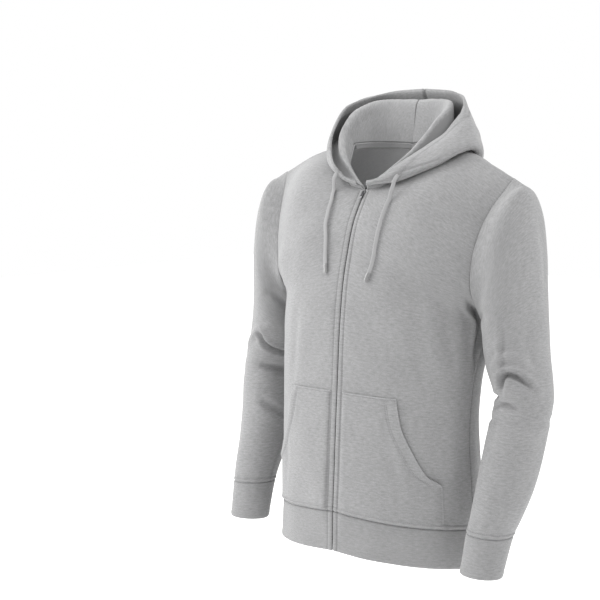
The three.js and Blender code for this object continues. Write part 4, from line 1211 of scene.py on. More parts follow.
class SWEATSHIRT_OT_cords(bpy.types.Operator):
    """Lays the two free ends of the drawcord, with their clear tips"""
    bl_idname = "sweatshirt.cords"
    bl_label = "Drawcord ends"

    def execute(self, context):
        look = kit(context)[1]
        trim = context.scene.sweatshirt_trim
        for side, name in SIDE.items():
            route = np.array(CORD_ROUTES[side], float)
            end, tip = route[-1], np.array(CORD_TIPS[side], float)
            bend = centripetal(np.broadcast_to(route, (110, *route.shape)), np.linspace(0, 1, 110))
            ahead = unit(tip - end)
            core = end + ahead * np.linspace(0.6, 15.8, 14)[:, None]
            path = np.vstack([bend, core])
            facing = unit(np.array(CORD_FACING[side]))
            squeeze = np.concatenate([np.ones(len(bend)), np.linspace(0.86, 0.74, len(core))])
            squeeze[len(bend) - 2:len(bend)] = (0.97, 0.92)
            squeeze[-1] = 0.4
            cord = flat_tube(
                f"{name}_cord", path, trim.cord_width * squeeze, trim.cord_thick * squeeze,
                facing, CORD_SIDES)
            cord.data.materials.append(look["cord"])
            settle(cord, "drawcord", f"drawcord_{name}")
            reach, grow = np.array(TIP_SHAPE).T
            tip_piece = flat_tube(
                f"{name}_cord_tip", end + ahead * reach[:, None], TIP_WIDTH * grow, TIP_THICK * grow,
                facing, TIP_SIDES, 2.3)
            tip_piece.data.materials.append(look["clear"])
            settle(tip_piece, "clear_tip", f"aglet_{name}")
        return {"FINISHED"}


# ------------------------------------------------------------------ body
SEAM_EDGE = 0.75            # a seamed edge starts this far in, and its roll meets the next piece
BAND_RIB, CUFF_RIBS, RIB_RISE = 5.2, 38, 0.1
ZIP_GAP = 2.3               # the fronts and the band reach this much closer to the zip's middle
# How far each row of stitches runs from its piece's edge
BAND_STITCH, ZIP_STITCH, NECK_STITCH, CUFF_STITCH = 7.5, 8, 4, 7


def body_seams(cloth):
    """The band seam, side seam and armhole that a front and the back share."""
    cloth.seam(cloth.down, (BAND_STITCH,), dip=0.9, bulk=0.9, reach=7.0)
    below = 1 - smooth((cloth.rows - UNDERARM_ROW + 0.1) / 0.2)
    cloth.seam(cloth.right, dip=0.9, bulk=0.25, reach=7, where=below)
    cloth.draw("right", 0.8, where=1 - below)
    cloth.seam(cloth.right, dip=0.15, bulk=0.45, reach=9, where=1 - below)
    cloth.seam(cloth.up, dip=0.7, bulk=0.3, reach=6)


class SWEATSHIRT_OT_fronts(bpy.types.Operator):
    """Lays the two fronts, with their folds, seams and rows of stitches"""
    bl_idname = "sweatshirt.fronts"
    bl_label = "Fronts"

    def execute(self, context):
        sizes, look = kit(context)
        for side, name in SIDE.items():
            cloth = Cloth(
                handed(front, side), side, (0, 1), (BAND_ROW, SHOULDER_ROW), dict(
                    left=beside(1.2, (NECK_STITCH, ZIP_STITCH)), right=beside(SEAM_EDGE, (), 16),
                    down=beside(SEAM_EDGE, (BAND_STITCH,)), up=beside(SEAM_EDGE, (), 10),
                ), LATTICE["body"], CLOTH,
            )
            zipped = 1 - smooth((cloth.rows - NECK_ROW) / 0.1)
            cloth.draw("left", ZIP_GAP, 12, zipped)
            cloth.draw("left", 2.0, where=1 - zipped)
            cloth.calm = smooth((cloth.left - 3) / 16)
            cloth.wave(sizes.unevenness)
            cloth.fold(f"front_{name}")
            body_seams(cloth)
            cloth.seam(cloth.left, (ZIP_STITCH,), dip=0, bulk=0.75, reach=7.4, where=zipped, pull=1.3)
            cloth.seam(cloth.left, (NECK_STITCH,), dip=0.6, bulk=0.5, reach=6, where=1 - zipped)
            piece = cloth_mesh(f"{name}_front", cloth, look["fleece"], look["reverse"])
            settle(piece, "fleece", f"front_{name}")
            height = cloth.rows[:, 0]
            sew(f"{name}_front_stitches", [
                line_on(cloth, "left", ZIP_STITCH, rows=height < NECK_ROW - 0.06),
                line_on(cloth, "left", NECK_STITCH, rows=height > NECK_ROW + 0.05),
                line_on(cloth, "down", BAND_STITCH),
            ], sizes, look)
        return {"FINISHED"}


class SWEATSHIRT_OT_back(bpy.types.Operator):
    """Lays the back in one width, with its folds, seams and stitches"""
    bl_idname = "sweatshirt.back"
    bl_label = "Back"

    def execute(self, context):
        sizes, look = kit(context)
        halves, lines = [], []
        for side, name in SIDE.items():
            cloth = Cloth(
                handed(back, side), -side, (0, 1), (BAND_ROW, SHOULDER_ROW), dict(
                    left=[0, 1.2, 2.6, 4, 5.4, 7, 9], right=beside(SEAM_EDGE, (), 16),
                    down=beside(SEAM_EDGE, (BAND_STITCH,)), up=beside(SEAM_EDGE, (), 10),
                ), LATTICE["body"], CLOTH,
            )
            free = int((cloth.rows[:, 0] <= NECK_ROW).sum())
            cloth.point[:free, 0, 0] = 0
            cloth.normal[:free, 0, 0] = 0
            cloth.normal = unit(cloth.normal)
            cloth.wave(sizes.unevenness)
            cloth.fold("back_left", "back_right")
            body_seams(cloth)
            cloth.draw("left", 2.0, where=smooth((cloth.rows - NECK_ROW - 0.1) / 0.3))
            above = smooth((cloth.rows - NECK_ROW - 0.02) / 0.12)
            cloth.seam(cloth.left, (NECK_STITCH,), dip=0.8, bulk=0.4, reach=6, where=above)
            halves.append(cloth_mesh(f"{name}_back", cloth, look["fleece"], look["reverse"], free))
            lines.append(line_on(cloth, "down", BAND_STITCH))
            lines.append(line_on(cloth, "left", NECK_STITCH, rows=cloth.rows[:, 0] > NECK_ROW + 0.1))
        whole = join_halves("back_panel", halves)
        settle(whole, "fleece", "back")
        sew("back_stitches", lines, sizes, look)
        return {"FINISHED"}


class SWEATSHIRT_OT_waistband(bpy.types.Operator):
    """Lays the ribbed band round the hem"""
    bl_idname = "sweatshirt.waistband"
    bl_label = "Waistband"

    def execute(self, context):
        sizes, look = kit(context)
        end = beside(1.2, (ZIP_STITCH,))
        cloth = Cloth(
            band, 1, (0, 4), (0, BAND_ROW),
            dict(left=end, right=end, down=beside(0.2, (), 12), up=beside(SEAM_EDGE, (), 12)),
            LATTICE["band"], CLOTH,
        )
        ends = np.minimum(cloth.left, cloth.right)
        cloth.draw("left", ZIP_GAP, 12)
        cloth.draw("right", ZIP_GAP, 12)
        cloth.calm = smooth((ends - 3) / 16)
        cloth.wave(sizes.unevenness)
        cloth.fold("front_left", "front_right", "back_left", "back_right")
        cloth.seam(cloth.up, dip=1.2, bulk=0.2, reach=5)
        cloth.seam(ends, (ZIP_STITCH,), dip=0, bulk=0.75, reach=7.4, pull=1.3)
        cloth.relief += 0.9 * hump(cloth.down - 4, 5) - 0.6 * (1 - smooth(cloth.down / 4))
        rib = np.sin((cloth.left - cloth.wide / 2) * 2 * math.pi / BAND_RIB)
        cloth.relief += RIB_RISE * rib * smooth((ends - ZIP_STITCH) / 8) * smooth(cloth.up / 6)
        piece = cloth_mesh("waistband", cloth, look["rib"], look["rib"])
        settle(piece, "fleece", "hem_band")
        lines = [line_on(cloth, end, ZIP_STITCH) for end in ("left", "right")]
        sew("waistband_stitches", lines, sizes, look)
        return {"FINISHED"}


# ------------------------------------------------------------------ sleeves
class SWEATSHIRT_OT_sleeves(bpy.types.Operator):
    """Lays the two sleeves with the folds at their elbows, and their ribbed cuffs"""
    bl_idname = "sweatshirt.sleeves"
    bl_label = "Sleeves and cuffs"

    def execute(self, context):
        sizes, look = kit(context)
        for side, name in SIDE.items():
            surface = handed(sleeve(side), side)
            cloth = Cloth(
                surface, -side, (0, 1), (0, CUFF_RING),
                dict(down=beside(SEAM_EDGE, (), 16), up=beside(SEAM_EDGE, (CUFF_STITCH,))),
                LATTICE["sleeve"], CLOTH, ring=True,
            )
            cloth.wave(sizes.unevenness)
            cloth.fold(f"sleeve_{name}")
            cloth.seam(cloth.down, dip=0.15, bulk=0.4, reach=9)
            cloth.seam(cloth.up, (CUFF_STITCH,), dip=0.9, bulk=0.7, reach=6.6)
            cloth.seam(np.minimum(cloth.left, cloth.right), dip=0.7, bulk=0.2, reach=5)
            piece = cloth_mesh(f"{name}_sleeve", cloth, look["fleece"], look["reverse"])
            settle(piece, "fleece", f"sleeve_{name}")
            cuff = Cloth(
                surface, -side, (0, 1), (CUFF_RING, CUFF_RING + 1),
                dict(down=beside(SEAM_EDGE, (), 10), up=beside(0.2, (), 10)),
                LATTICE["cuff"], CLOTH, ring=True,
            )
            cuff.wave(sizes.unevenness)
            cuff.seam(cuff.down, dip=1.2, bulk=0.2, reach=5)
            cuff.relief += 0.8 * hump(cuff.up - 4, 5) - 0.6 * (1 - smooth(cuff.up / 4))
            rib = np.sin(cuff.left / cuff.wide * 2 * math.pi * CUFF_RIBS)
            cuff.relief += RIB_RISE * rib * smooth(cuff.down / 6)
            piece = cloth_mesh(f"{name}_cuff", cuff, look["rib"], look["rib"])
            settle(piece, "fleece", f"cuff_{name}")
            sew(f"{name}_sleeve_stitches", [line_on(cloth, "up", CUFF_STITCH)], sizes, look)
        return {"FINISHED"}


# ------------------------------------------------------------------ hood
HOOD_HALF = 1.15            # from the middle between the two layers to the middle of each
CHANNEL = 17.0              # the hem that holds the drawcord, from the rim in
CHANNEL_STITCHES = (16, 19)
HEM_STITCH, CENTRE_STITCH, FOOT_STITCH = 2.2, 4, 5
FAR = 99                    # from the rim: so far that nothing is shaped there


def rimmed(side):
    """The outer layer of half a hood, which turns over the rim and comes back inside as a hem."""
    plain_hood = hood(side)

    def surface(up, station):
        up, station = spread(up, station)
        step = 0.004
        inside = np.where(up <= 1, up, np.where(up <= 1.1, 1.0, 1 - (up - 1.1)))
        low, high = np.clip(inside - step, 0, 1), np.clip(inside + step, 0, 1)
        back_s, on_s = (np.clip(station + move, 0, STATIONS) for move in (-0.02, 0.02))
        along = plain_hood(high, station) - plain_hood(low, station)
        rise = plain_hood(inside, on_s) - plain_hood(inside, back_s)
        normal = -unit(np.cross(along, rise))
        ahead = unit(along)
        angle = np.where(up <= 1, 0, np.where(up <= 1.1, (up - 1) * 10 * math.pi, math.pi))[..., None]
        return plain_hood(inside, station) + HOOD_HALF * (normal * np.cos(angle) + ahead * np.sin(angle))
    return surface


def hem_share(side, station):
    """How much of the way up the hood the hem's depth is."""
    s = np.linspace(0.75, 1, 60)
    run = run_along(hood(side)(s, station))
    return 1 - float(np.interp(max(run[-1] - CHANNEL, 0), run, s))


class SWEATSHIRT_OT_hood(bpy.types.Operator):
    """Lays the hood: each half's outer layer, turned over the rim, and its lining"""
    bl_idname = "sweatshirt.hood"
    bl_label = "Hood"

    def execute(self, context):
        sizes, look = kit(context)
        for side, name in SIDE.items():
            fine = np.linspace(0, STATIONS, 33)
            shares = np.array([hem_share(side, station) for station in fine])
            outer_surface = rimmed(side)

            def outer(s, t, shares=shares, fine=fine, outer_surface=outer_surface):
                """s runs to 1 at the rim, to 1.1 round it and to 1.3 at the end of the hem."""
                s, t = spread(s, t)
                deep = np.interp(t, fine, shares)
                return outer_surface(np.where(s > 1.1, 1.1 + (s - 1.1) / 0.2 * deep, s), t)

            cloth = Cloth(
                handed(outer, side), -side, (0, 1.3), (0, STATIONS), dict(
                    left=beside(1.0, (FOOT_STITCH,)), right=beside(1.0, (HEM_STITCH,)),
                    down=beside(1.2, (), 10), up=beside(1.1, (CENTRE_STITCH,)),
                ), LATTICE["hood"], HOOD_CLOTH, middle=0.6, crosswise=True,
            )
            turned = smooth((cloth.s - 0.97) / 0.1)
            cloth.calm = smooth((cloth.left - 2) / 14) * (1 - turned) * smooth(cloth.up / 12)
            cloth.wave(sizes.unevenness * 0.7)
            cloth.fold(f"hood_{name}")
            rim = np.where(cloth.s < 1.02, cloth.right - CHANNEL - HOOD_HALF * math.pi / 2, FAR)
            cloth.draw("left", 1.2)
            cloth.seam(cloth.left, (FOOT_STITCH,), dip=0.6, bulk=0.7, reach=5)
            cloth.seam(cloth.up, (CENTRE_STITCH,), dip=1.2, bulk=0.5, reach=6)
            # Each row of the channel's stitches sinks a furrow, which is also painted darker as painted
            # shade.
            for row in CHANNEL_STITCHES:
                furrow = 0.6 * hump(rim - row, 1.0)
                cloth.relief -= furrow
                cloth.wear_and_shade -= furrow
            cloth.relief += 0.35 * hump(rim - 8, 6)
            piece = cloth_mesh(f"{name}_hood_outer", cloth, look["fleece"], look["lining"])
            settle(piece, "fleece", f"hood_{name}")
            face, way = cloth.outer(THREAD_LIFT), cloth.normal
            j = np.arange(len(face))
            columns = [np.abs(rim - row).argmin(1) for row in CHANNEL_STITCHES]
            sew(f"{name}_hood_stitches", [
                *((face[j, column], way[j, column]) for column in columns),
                line_on(cloth, "left", FOOT_STITCH), line_on(cloth, "right", HEM_STITCH),
                line_on(cloth, "up", CENTRE_STITCH, rows=cloth.s[0] < 0.97),
            ], sizes, look)

            def inner(s, t, side=side, shares=shares, fine=fine):
                s, t = spread(s, t)
                return hood(side)(s * (1 - np.interp(t, fine, shares) * 0.93), t)

            lining = Cloth(
                handed(inner, side), -side, (0, 1), (0, STATIONS), dict(
                    left=beside(1.0, (), 10), right=beside(1.0, (), 10),
                    down=beside(1.2, (), 10), up=beside(1.1, (3.5,)),
                ), LATTICE["lining"], HOOD_CLOTH, lift=-HOOD_HALF, middle=0.6, crosswise=True,
            )
            inwards = smooth((lining.left - 2) / 14) * smooth(lining.right / 12)
            lining.calm = inwards * smooth(lining.up / 12)
            lining.wave(sizes.unevenness * 0.7)
            lining.fold(f"hood_{name}")
            lining.relief += 0.9 * hump(lining.up, 2.0)
            # Painted shade along the lining's centre seam.
            lining.wear_and_shade = -2.4 * hump(lining.up, 3.0)
            # Painted shade in the valley past the collar's crest, darker the further it falls below the
            # crest.
            height = lining.point[..., 2]
            collar = height[:, :height.shape[1] // 2]
            past = np.arange(height.shape[1]) > collar.argmax(1)[:, None]
            deep = collar.max(1)[:, None] - height
            lining.wear_and_shade -= 2.6 * past * smooth((deep + 2) / 18)
            piece = cloth_mesh(f"{name}_hood_lining", lining, look["lining"], look["lining"])
            settle(piece, "fleece_inside", f"hood_lining_{name}")
        return {"FINISHED"}


WELT_REACH = {1: 3.4, -1: 2.9}          # in stations of the hood
WELT_THICK, WELT_LIFT, WELT_STITCH = 1.5, 2.8, 4.0


class SWEATSHIRT_OT_collar_welt(bpy.types.Operator):
    """Lays the narrow raised band over the neck seam in front, from the zip to each shoulder"""
    bl_idname = "sweatshirt.collar_welt"
    bl_label = "Collar band"

    def execute(self, context):
        sizes, look = kit(context)
        for side, name in SIDE.items():
            def strip(s, t, side=side):
                """s runs up the band over the foot of the hood, t along the neck seam."""
                s, t = spread(s, t)
                foot = neckline(t / STATIONS)
                away = foot - np.array([0, 20.0, 0])
                away[..., 2] = 0
                return foot + (9.8 * s - 2.3)[..., None] * unit(0.45 * unit(away) + np.array([0, 0, 1.0]))

            cloth = Cloth(
                handed(strip, side), -side, (0, 1), (0.05, WELT_REACH[side]),
                dict(
                    left=[0.8, 1.6, 2.3, 3.2, WELT_STITCH], right=[0.6, 1.2, 2.0, 3.0],
                    down=[0.7, 1.5, 3], up=[0.7, 1.5, 3],
                ), LATTICE["collar"], WELT_THICK, lift=WELT_LIFT, crosswise=True,
            )
            cloth.relief -= 3.6 * smooth((cloth.rows - WELT_REACH[side] + 0.9) / 0.9)
            cloth.seam(cloth.left, (WELT_STITCH,), dip=0, bulk=0, pull=0.5)
            # Painted shade: a dark line just in from the band's lower edge and another along its upper edge.
            cloth.wear_and_shade -= 2.6 * hump(cloth.left - 2.3, 0.9) + 1.2 * hump(cloth.right, 0.8)
            piece = cloth_mesh(f"{name}_collar_band", cloth, look["fleece"], look["fleece"])
            settle(piece, "fleece")
            sew(f"{name}_collar_stitches", [line_on(cloth, "left", WELT_STITCH)], sizes, look)
        return {"FINISHED"}


# ------------------------------------------------------------------ pockets and tape
OPENING_STITCHES = (17, 20)
FLAP_STITCH, POCKET_FOOT_STITCH, POCKET_TOP_STITCH = 2.5, 6.3, 3.2
BAR_TACK = 9.0
TAPE_THICK, TAPE_STITCH = 1.1, 1.2


def pocket(share, k):
    """The left pocket: across from the zip to its far edge, then up from its lower corner."""
    share, k = spread(share, k)
    edge = between(POCKET_EDGE, k)
    return front(POCKET_START + (edge[..., 1] - POCKET_START) * share, edge[..., 0] + 0.02)


class SWEATSHIRT_OT_pockets(bpy.types.Operator):
    """Lays the two halves of the pocket on the fronts, their openings standing a little open"""
    bl_idname = "sweatshirt.pockets"
    bl_label = "Pockets"

    def execute(self, context):
        sizes, look = kit(context)
        for side, name in SIDE.items():
            last = len(POCKET_EDGE) - 1
            cloth = Cloth(
                handed(pocket, side), side, (0, 1), (0, last), dict(
                    left=beside(1.1), right=beside(1.1, (FLAP_STITCH, *OPENING_STITCHES)),
                    down=beside(1.1, (POCKET_FOOT_STITCH,)), up=beside(1.1, (POCKET_TOP_STITCH,)),
                ), LATTICE["pocket"], POCKET_CLOTH, lift=CLOTH / 2 + 0.5 + POCKET_CLOTH / 2,
            )
            cloth.wave(sizes.unevenness)
            cloth.fold(f"front_{name}")
            k = cloth.rows
            opening = smooth((k - 1.0) / 0.3) * (1 - smooth((k - last + 0.35) / 0.3))
            lift = 1.3 + 0.9 * hump(k - 1.6, 0.4)
            cloth.relief += opening * lift * hump(cloth.right, 24)
            sunk = np.maximum(1 - smooth((cloth.left - 0.5) / 3.5), 1 - smooth((cloth.down - 0.5) / 3))
            cloth.relief += 0.8 * (1 - smooth((cloth.down - 6) / 4)) - 3.4 * sunk * smooth(cloth.up / 4)
            cloth.seam(cloth.down, (POCKET_FOOT_STITCH,), dip=0, bulk=0)
            cloth.seam(cloth.up, (POCKET_TOP_STITCH,), dip=0.5, bulk=0.5, reach=9)
            cloth.seam(cloth.right, (FLAP_STITCH,), dip=0.5, bulk=0.2, reach=4, where=1 - opening)
            # Each row of stitches by the opening sinks a furrow, which is also painted darker as painted
            # shade.
            for row in OPENING_STITCHES:
                furrow = opening * hump(cloth.right - row, 1.1)
                cloth.relief -= 0.8 * furrow
                cloth.wear_and_shade -= 0.6 * furrow
            cloth.relief += 0.5 * opening * hump(cloth.right - 8, 7)
            cloth.wear_and_shade = np.maximum(cloth.wear_and_shade, opening * 0.6 * hump(cloth.right, 3))
            piece = cloth_mesh(f"{name}_pocket", cloth, look["fleece"], look["reverse"])
            settle(piece, "fleece", f"pocket_{name}")
            high = k[:, 0] > 1.02
            lines = [line_on(cloth, "right", row, rows=high) for row in OPENING_STITCHES]
            lines += [
                line_on(cloth, "right", FLAP_STITCH, rows=~high),
                line_on(cloth, "up", POCKET_TOP_STITCH), line_on(cloth, "down", POCKET_FOOT_STITCH),
            ]
            corner = int(high.argmax())
            for at in (corner - 2, corner + 2, len(high) - 3):
                column = np.abs(cloth.right[at] - BAR_TACK).argmin()
                face, way = cloth.outer(0.3)[at], cloth.normal[at]
                bar = face[-2] + (face[column] - face[-2]) * np.linspace(0, 1, 6)[:, None]
                lines.append((bar, np.repeat(way[-3:-2], 6, 0)))
            sew(f"{name}_pocket_stitches", lines, sizes, look)
        return {"FINISHED"}


def tape_round(s, t):
    """Along the neck seam inside, from the left shoulder behind the neck to the right shoulder."""
    s, t = spread(s, t)
    point = neckline(0.5 + 0.5 * np.where(s <= 1, s, 2 - s))
    inwards = point * np.array([-1.0, -1.0, 0])
    point = point + 2.6 * unit(inwards)
    point[..., 2] += 1 - 9 * (1 - t)
    return np.where((s <= 1)[..., None], point, flip(point))


class SWEATSHIRT_OT_neck_tape(bpy.types.Operator):
    """Lays the tape over the neck seam inside the back of the neck"""
    bl_idname = "sweatshirt.neck_tape"
    bl_label = "Neck tape"

    def execute(self, context):
        sizes, look = kit(context)
        cloth = Cloth(
            tape_round, -1, (0.02, 1.98), (0, 1),
            dict(left=[0.6, 2], right=[0.6, 2], down=[0.6, TAPE_STITCH, 2], up=[0.6, TAPE_STITCH, 2]),
            LATTICE["neck_tape"], TAPE_THICK,
        )
        piece = cloth_mesh("back_neck_tape", cloth, look["inside"], look["inside"])
        settle(piece, "fleece_inside", "neck_tape")
        lines = [line_on(cloth, edge, TAPE_STITCH) for edge in ("down", "up")]
        sew("neck_tape_stitches", lines, sizes, look, "fleece_inside")
        return {"FINISHED"}


# ------------------------------------------------------------------ zip
ZIP_ABOVE = 9.0             # how far the zip runs on above the neck seam
TAPE_MIDDLE = -2.45
TOOTH_FRONT = 0.1
SLIDER_BELOW = 9.4
# Blocks: across, up and through
TOOTH, STOP, BOX = (2.2, 1.35, 1.6), (2.2, 3.4, 2.0), (6.2, 8.4, 3.4)
SHIELD, WING, POST = (7.6, 11, 1.3), (7.6, 10, 1.2), (1.6, 3.2, 5.4)
SHIELD_FRONT, BRIDGE_FOOT, PULL_FRONT = 2.95, 2.7, 4.6
BRIDGE_ROUND, BRIDGE_WIRE = 3.2, 0.75
PULL_WIDE, PULL_LONG, PULL_THICK, PULL_EDGE, PULL_CORNER = 5.0, 11.0, 1.35, 1.15, 1.2
# The slider's front plate: from and to, up it, and how much its width changes there
SHIELD_WAIST = ((-9, -5.4, 0.7), (-2.8, -2.7, 0.76), (-0.1, 0.1, 0.86), (2.7, 2.8, 1.14), (5.4, 9, 0.98))


def zip_line(t, reach=0.05):
    """Points on the zip's middle, the way up it and the way out of the cloth, at rows of the front."""
    t = np.atleast_1d(np.asarray(t, float))
    flat = np.array([0.0, 1, 1])
    point = front(0, t) * flat
    up = unit(point - front(0, t - reach) * flat)
    return point, up, np.stack([np.zeros(len(t)), -up[:, 2], up[:, 1]], -1)


def zip_run():
    """Places close together along the zip, from the box to its top, with ways up and out."""
    t = np.linspace(0.05, NECK_ROW, 500)
    point, up, out = zip_line(t)
    extra = np.linspace(1, ZIP_ABOVE, 9)[:, None]
    point = np.vstack([point, point[-1] + up[-1] * extra])
    up, out = np.vstack([up, np.repeat(up[-1:], 9, 0)]), np.vstack([out, np.repeat(out[-1:], 9, 0)])
    return run_along(point), point, up, out


def tape_half(s, t):
    """A zip tape: out from the teeth under the front, then up in rows of the front and above them."""
    s, t = spread(s, t)
    flat_t = np.minimum(t, NECK_ROW).ravel()
    point, up, out = zip_line(flat_t)
    cloth = front(ZIP_SHARE, flat_t) - point
    above = np.maximum(t.ravel() - NECK_ROW, 0) * 2 * ZIP_ABOVE
    narrow = np.clip(above / 3, 0, 1)[:, None]
    far = cloth * (1 - narrow) + np.array([3.0, 0, 0]) * narrow
    share = s.ravel()[:, None]
    near = np.array([0.5, 0, 0])
    place = point + near * (1 - share) + far * share + out * TAPE_MIDDLE + up * above[:, None]
    return place.reshape(s.shape + (3,))


def lay_on_zip(piece, point, up, out):
    """Lays a piece made flat at the origin on the zip: its +Y up the zip, its +Z out of the cloth."""
    piece.data.transform(Matrix([
        [1, up[0], out[0], point[0] * MM], [0, up[1], out[1], point[1] * MM],
        [0, up[2], out[2], point[2] * MM], [0, 0, 0, 1],
    ]))
    return piece


def on_zip(piece, below=SLIDER_BELOW):
    """Lays a piece at the top of the zip, so far below the neck seam."""
    point, up, out = (values[0] for values in zip_line([NECK_ROW], 0.6))
    return lay_on_zip(piece, point - up * below, up, out)


def cube(name, size, middle, bevel=0, segments=2):
    """A block with rounded edges, its sizes in millimetres."""
    deselect()
    bpy.ops.mesh.primitive_cube_add(size=1, location=[v * MM for v in middle])
    piece = bpy.context.active_object
    piece.name = piece.data.name = name
    piece.scale = [v * MM for v in size]
    apply_place()
    if bevel:
        edit()
        bpy.ops.mesh.bevel(offset=bevel * MM, segments=segments, affect="EDGES")
        leave_edit()
    return piece


def choose(piece, test):
    """Selects, in edit mode, the vertices whose places in millimetres pass a test."""
    leave_edit()
    for kind in (piece.data.polygons, piece.data.edges):
        kind.foreach_set("select", [False] * len(kind))
    for vertex in piece.data.vertices:
        vertex.select = bool(test(vertex.co / MM))
    bpy.ops.object.mode_set(mode="EDIT")


def join_metal(name, pieces):
    """Joins hard pieces and smooths all but their sharp edges."""
    whole = join_pieces(name, pieces)
    bpy.ops.object.shade_smooth_by_angle(angle=SHARP)
    whole.select_set(False)
    return whole


def zip_tooth():
    """One tooth lying across the chain: a narrow head and a broader foot."""
    tooth = cube("tooth", TOOTH, (1.15, 0, 0))
    edit()
    bpy.ops.mesh.select_mode(type="VERT")
    bpy.ops.mesh.select_all(action="SELECT")
    bpy.ops.mesh.subdivide(number_cuts=1)
    choose(tooth, lambda v: v.x < 0.2)
    bpy.ops.transform.resize(value=(1, 0.62, 0.7))
    choose(tooth, lambda v: v.z > 0.7 and v.x > 1)
    bpy.ops.transform.resize(value=(0.9, 0.7, 1))
    leave_edit()
    return tooth


class SWEATSHIRT_OT_zip(bpy.types.Operator):
    """Makes the zip: its two tapes, the closed rows of teeth, the end box and the top stops"""
    bl_idname = "sweatshirt.zip"
    bl_label = "Zip"

    def execute(self, context):
        look = kit(context)[1]
        trim = context.scene.sweatshirt_trim
        for side, name in SIDE.items():
            cloth = Cloth(
                handed(tape_half, side), side, (0, 1), (0.12, NECK_ROW + 0.48),
                dict(left=[0.6, 1.6, 2.6], right=[0.6, 1.2], down=[0.6, 1.2], up=[0.6, 1.2]),
                LATTICE["zip_tape"], TAPE_THICK,
            )
            piece = cloth_mesh(f"{name}_zip_tape", cloth, look["tape"], look["tape"])
            settle(piece, "zip_tape", f"zip_tape_{name}")
        tooth = zip_tooth()
        shape = np.array([list(v.co) for v in tooth.data.vertices]) / MM
        pattern = [list(p.vertices) for p in tooth.data.polygons]
        bpy.data.objects.remove(tooth)
        run, point, up, out = zip_run()
        pitch = trim.tooth_pitch
        spots = np.arange(8.0, run[-1] - 1.5, pitch)
        points, faces = [], []
        for side in SIDE:
            at = spots + (pitch / 2 if side < 0 else 0)
            place, rise, way = (at_run(values, run, at) for values in (point, up, out))
            rise, way = unit(rise), unit(way)
            for k in range(len(at)):
                across = np.array([float(side), 0, 0])
                made = place[k] + way[k] * (TOOTH_FRONT - 0.8)
                made = made + shape[:, :1] * across + shape[:, 1:2] * rise[k] + shape[:, 2:3] * way[k]
                base = len(points) * len(shape)
                points.append(made)
                faces += [[v + base for v in (face if side > 0 else face[::-1])] for face in pattern]
        teeth = new_mesh("zip_teeth", np.vstack(points), faces)
        teeth.data.materials.append(look["teeth"])
        settle(teeth, "zip_tape")
        hard = []
        stop = cube("stop", STOP, (1.25, 0, TOOTH_FRONT - 0.6), 0.4)
        for side in SIDE:
            copy = bpy.data.objects.new("top_stop", stop.data.copy())
            context.scene.collection.objects.link(copy)
            if side < 0:
                copy.data.transform(Matrix.Scale(-1, 4, (1, 0, 0)))
                copy.data.flip_normals()
            hard.append(on_zip(copy, -ZIP_ABOVE + 1.0))
        bpy.data.objects.remove(stop)
        box = cube("box", BOX, (0, 0, 0), 0.7, 3)
        bpy.ops.object.mode_set(mode="EDIT")
        choose(box, lambda v: v.y > 3.4)
        bpy.ops.transform.resize(value=(0.86, 1, 0.9))
        leave_edit()
        point, up, out = (values[0] for values in zip_line([0.06]))
        lay_on_zip(box, point + up * 0.6 + out * (TOOTH_FRONT - 1.2), up, out)
        hard.append(box)
        whole = join_metal("zip_end_box", hard)
        whole.data.materials.append(look["metal"])
        settle(whole, "gunmetal", "zip_box")
        return {"FINISHED"}


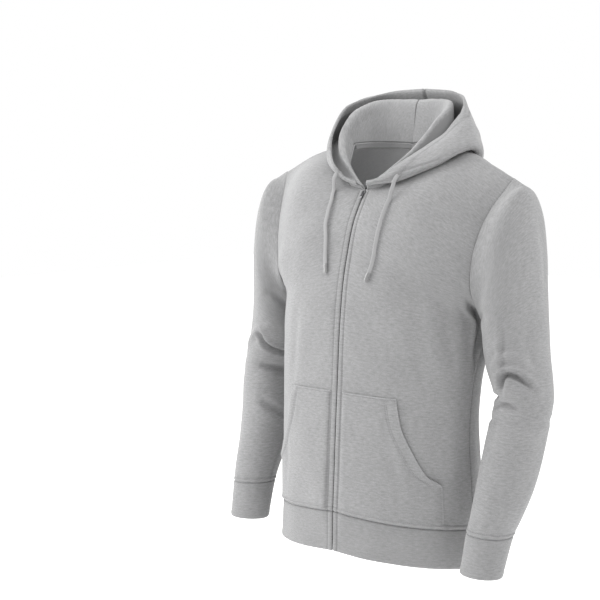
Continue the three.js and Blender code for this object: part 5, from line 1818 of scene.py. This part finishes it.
class SWEATSHIRT_OT_slider(bpy.types.Operator):
    """Makes the zip's slider and the pull that hangs on its bridge"""
    bl_idname = "sweatshirt.slider"
    bl_label = "Slider and pull"

    def execute(self, context):
        look = kit(context)[1]
        shield = cube("shield", SHIELD, (0, 0, SHIELD_FRONT))
        edit()
        bpy.ops.mesh.subdivide(number_cuts=3)
        for low, high, wide in SHIELD_WAIST:
            choose(shield, lambda v, low=low, high=high: low < v.y < high)
            bpy.ops.transform.resize(value=(wide, 1, 1))
        leave_edit()
        rounded(shield, 0.35)
        wing = cube("wing", WING, (0, 0, -2.9), 0.4)
        post = cube("post", POST, (0, 3.6, -0.2), 0.3)
        deselect()
        bpy.ops.mesh.primitive_torus_add(
            location=(0, 0, 3.1 * MM), rotation=(0, math.pi / 2, 0), major_segments=32, minor_segments=10,
            major_radius=BRIDGE_ROUND * MM, minor_radius=BRIDGE_WIRE * MM,
        )
        bridge = context.active_object
        apply_place()
        edit()
        bpy.ops.transform.resize(value=(1.15, 1.15, 0.98))
        bpy.ops.mesh.select_all(action="SELECT")
        bpy.ops.mesh.bisect(
            plane_co=(0, 0, BRIDGE_FOOT * MM), plane_no=(0, 0, 1), clear_inner=True, use_fill=True)
        leave_edit()
        body = join_metal("slider_body", [shield, wing, post, bridge])
        body.data.materials.append(look["metal"])
        on_zip(body)
        settle(body, "gunmetal", "zip_slider")

        deselect()
        bpy.ops.mesh.primitive_plane_add(size=1, location=(0, -3.9 * MM, PULL_FRONT * MM))
        pull = context.active_object
        pull.scale = (PULL_WIDE * MM, PULL_LONG * MM, 1)
        apply_place()
        edit()
        bpy.ops.mesh.bevel(offset=PULL_CORNER * MM, segments=4, affect="VERTICES")
        bpy.ops.mesh.select_all(action="SELECT")
        bpy.ops.mesh.inset(thickness=PULL_EDGE * MM)
        bpy.ops.transform.translate(value=(0, 0.35 * MM, 0))
        bpy.ops.transform.resize(value=(1, 0.76, 1), center_override=(0, 0.95 * MM, PULL_FRONT * MM))
        bpy.ops.mesh.delete(type="FACE")
        leave_edit()
        wall = pull.modifiers.new("Wall", "SOLIDIFY")
        wall.thickness, wall.offset = PULL_THICK * MM, 0
        bpy.ops.object.modifier_apply(modifier="Wall")
        rounded(pull, 0.32)
        tab = join_metal("pull_tab", [pull])
        tab.data.materials.append(look["metal"])
        on_zip(tab)
        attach(tab, "zip_pull")
        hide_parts("zip_pull")
        return {"FINISHED"}


# ------------------------------------------------------------------ panel and main
STEPS = (
    SWEATSHIRT_OT_camera, SWEATSHIRT_OT_cords, SWEATSHIRT_OT_fronts, SWEATSHIRT_OT_back,
    SWEATSHIRT_OT_waistband, SWEATSHIRT_OT_sleeves, SWEATSHIRT_OT_hood, SWEATSHIRT_OT_collar_welt,
    SWEATSHIRT_OT_pockets, SWEATSHIRT_OT_neck_tape, SWEATSHIRT_OT_zip, SWEATSHIRT_OT_slider,
    SWEATSHIRT_OT_stage,
)


class SWEATSHIRT_PT_panel(bpy.types.Panel):
    """Lists the sizes, the colours and the pieces"""
    bl_idname = "SWEATSHIRT_PT_panel"
    bl_label = "Hooded Sweatshirt"
    bl_space_type = "VIEW_3D"
    bl_region_type = "UI"
    bl_category = "Sweatshirt"

    def draw(self, context):
        scene = context.scene
        for settings in (scene.sweatshirt_fleece, scene.sweatshirt_trim, scene.sweatshirt_stage):
            box = self.layout.box()
            for name in settings.bl_rna.properties.keys():
                if name not in ("rna_type", "name"):
                    box.prop(settings, name)
        column = self.layout.column(align=True)
        for step in STEPS:
            column.operator(step.bl_idname)


SETTINGS = {
    "sweatshirt_fleece": FleeceSettings,
    "sweatshirt_trim": TrimSettings,
    "sweatshirt_stage": StageSettings,
}


def register():
    for kind in (*SETTINGS.values(), *STEPS, SWEATSHIRT_PT_panel):
        bpy.utils.register_class(kind)
    for name, kind in SETTINGS.items():
        setattr(bpy.types.Scene, name, bpy.props.PointerProperty(type=kind))


def unregister():
    for name in SETTINGS:
        delattr(bpy.types.Scene, name)
    for kind in (SWEATSHIRT_PT_panel, *reversed(STEPS), *SETTINGS.values()):
        bpy.utils.unregister_class(kind)


def main():
    register()
    for step in STEPS:
        space, name = step.bl_idname.split(".")
        getattr(getattr(bpy.ops, space), name)()


if __name__ == "__main__":
    main()
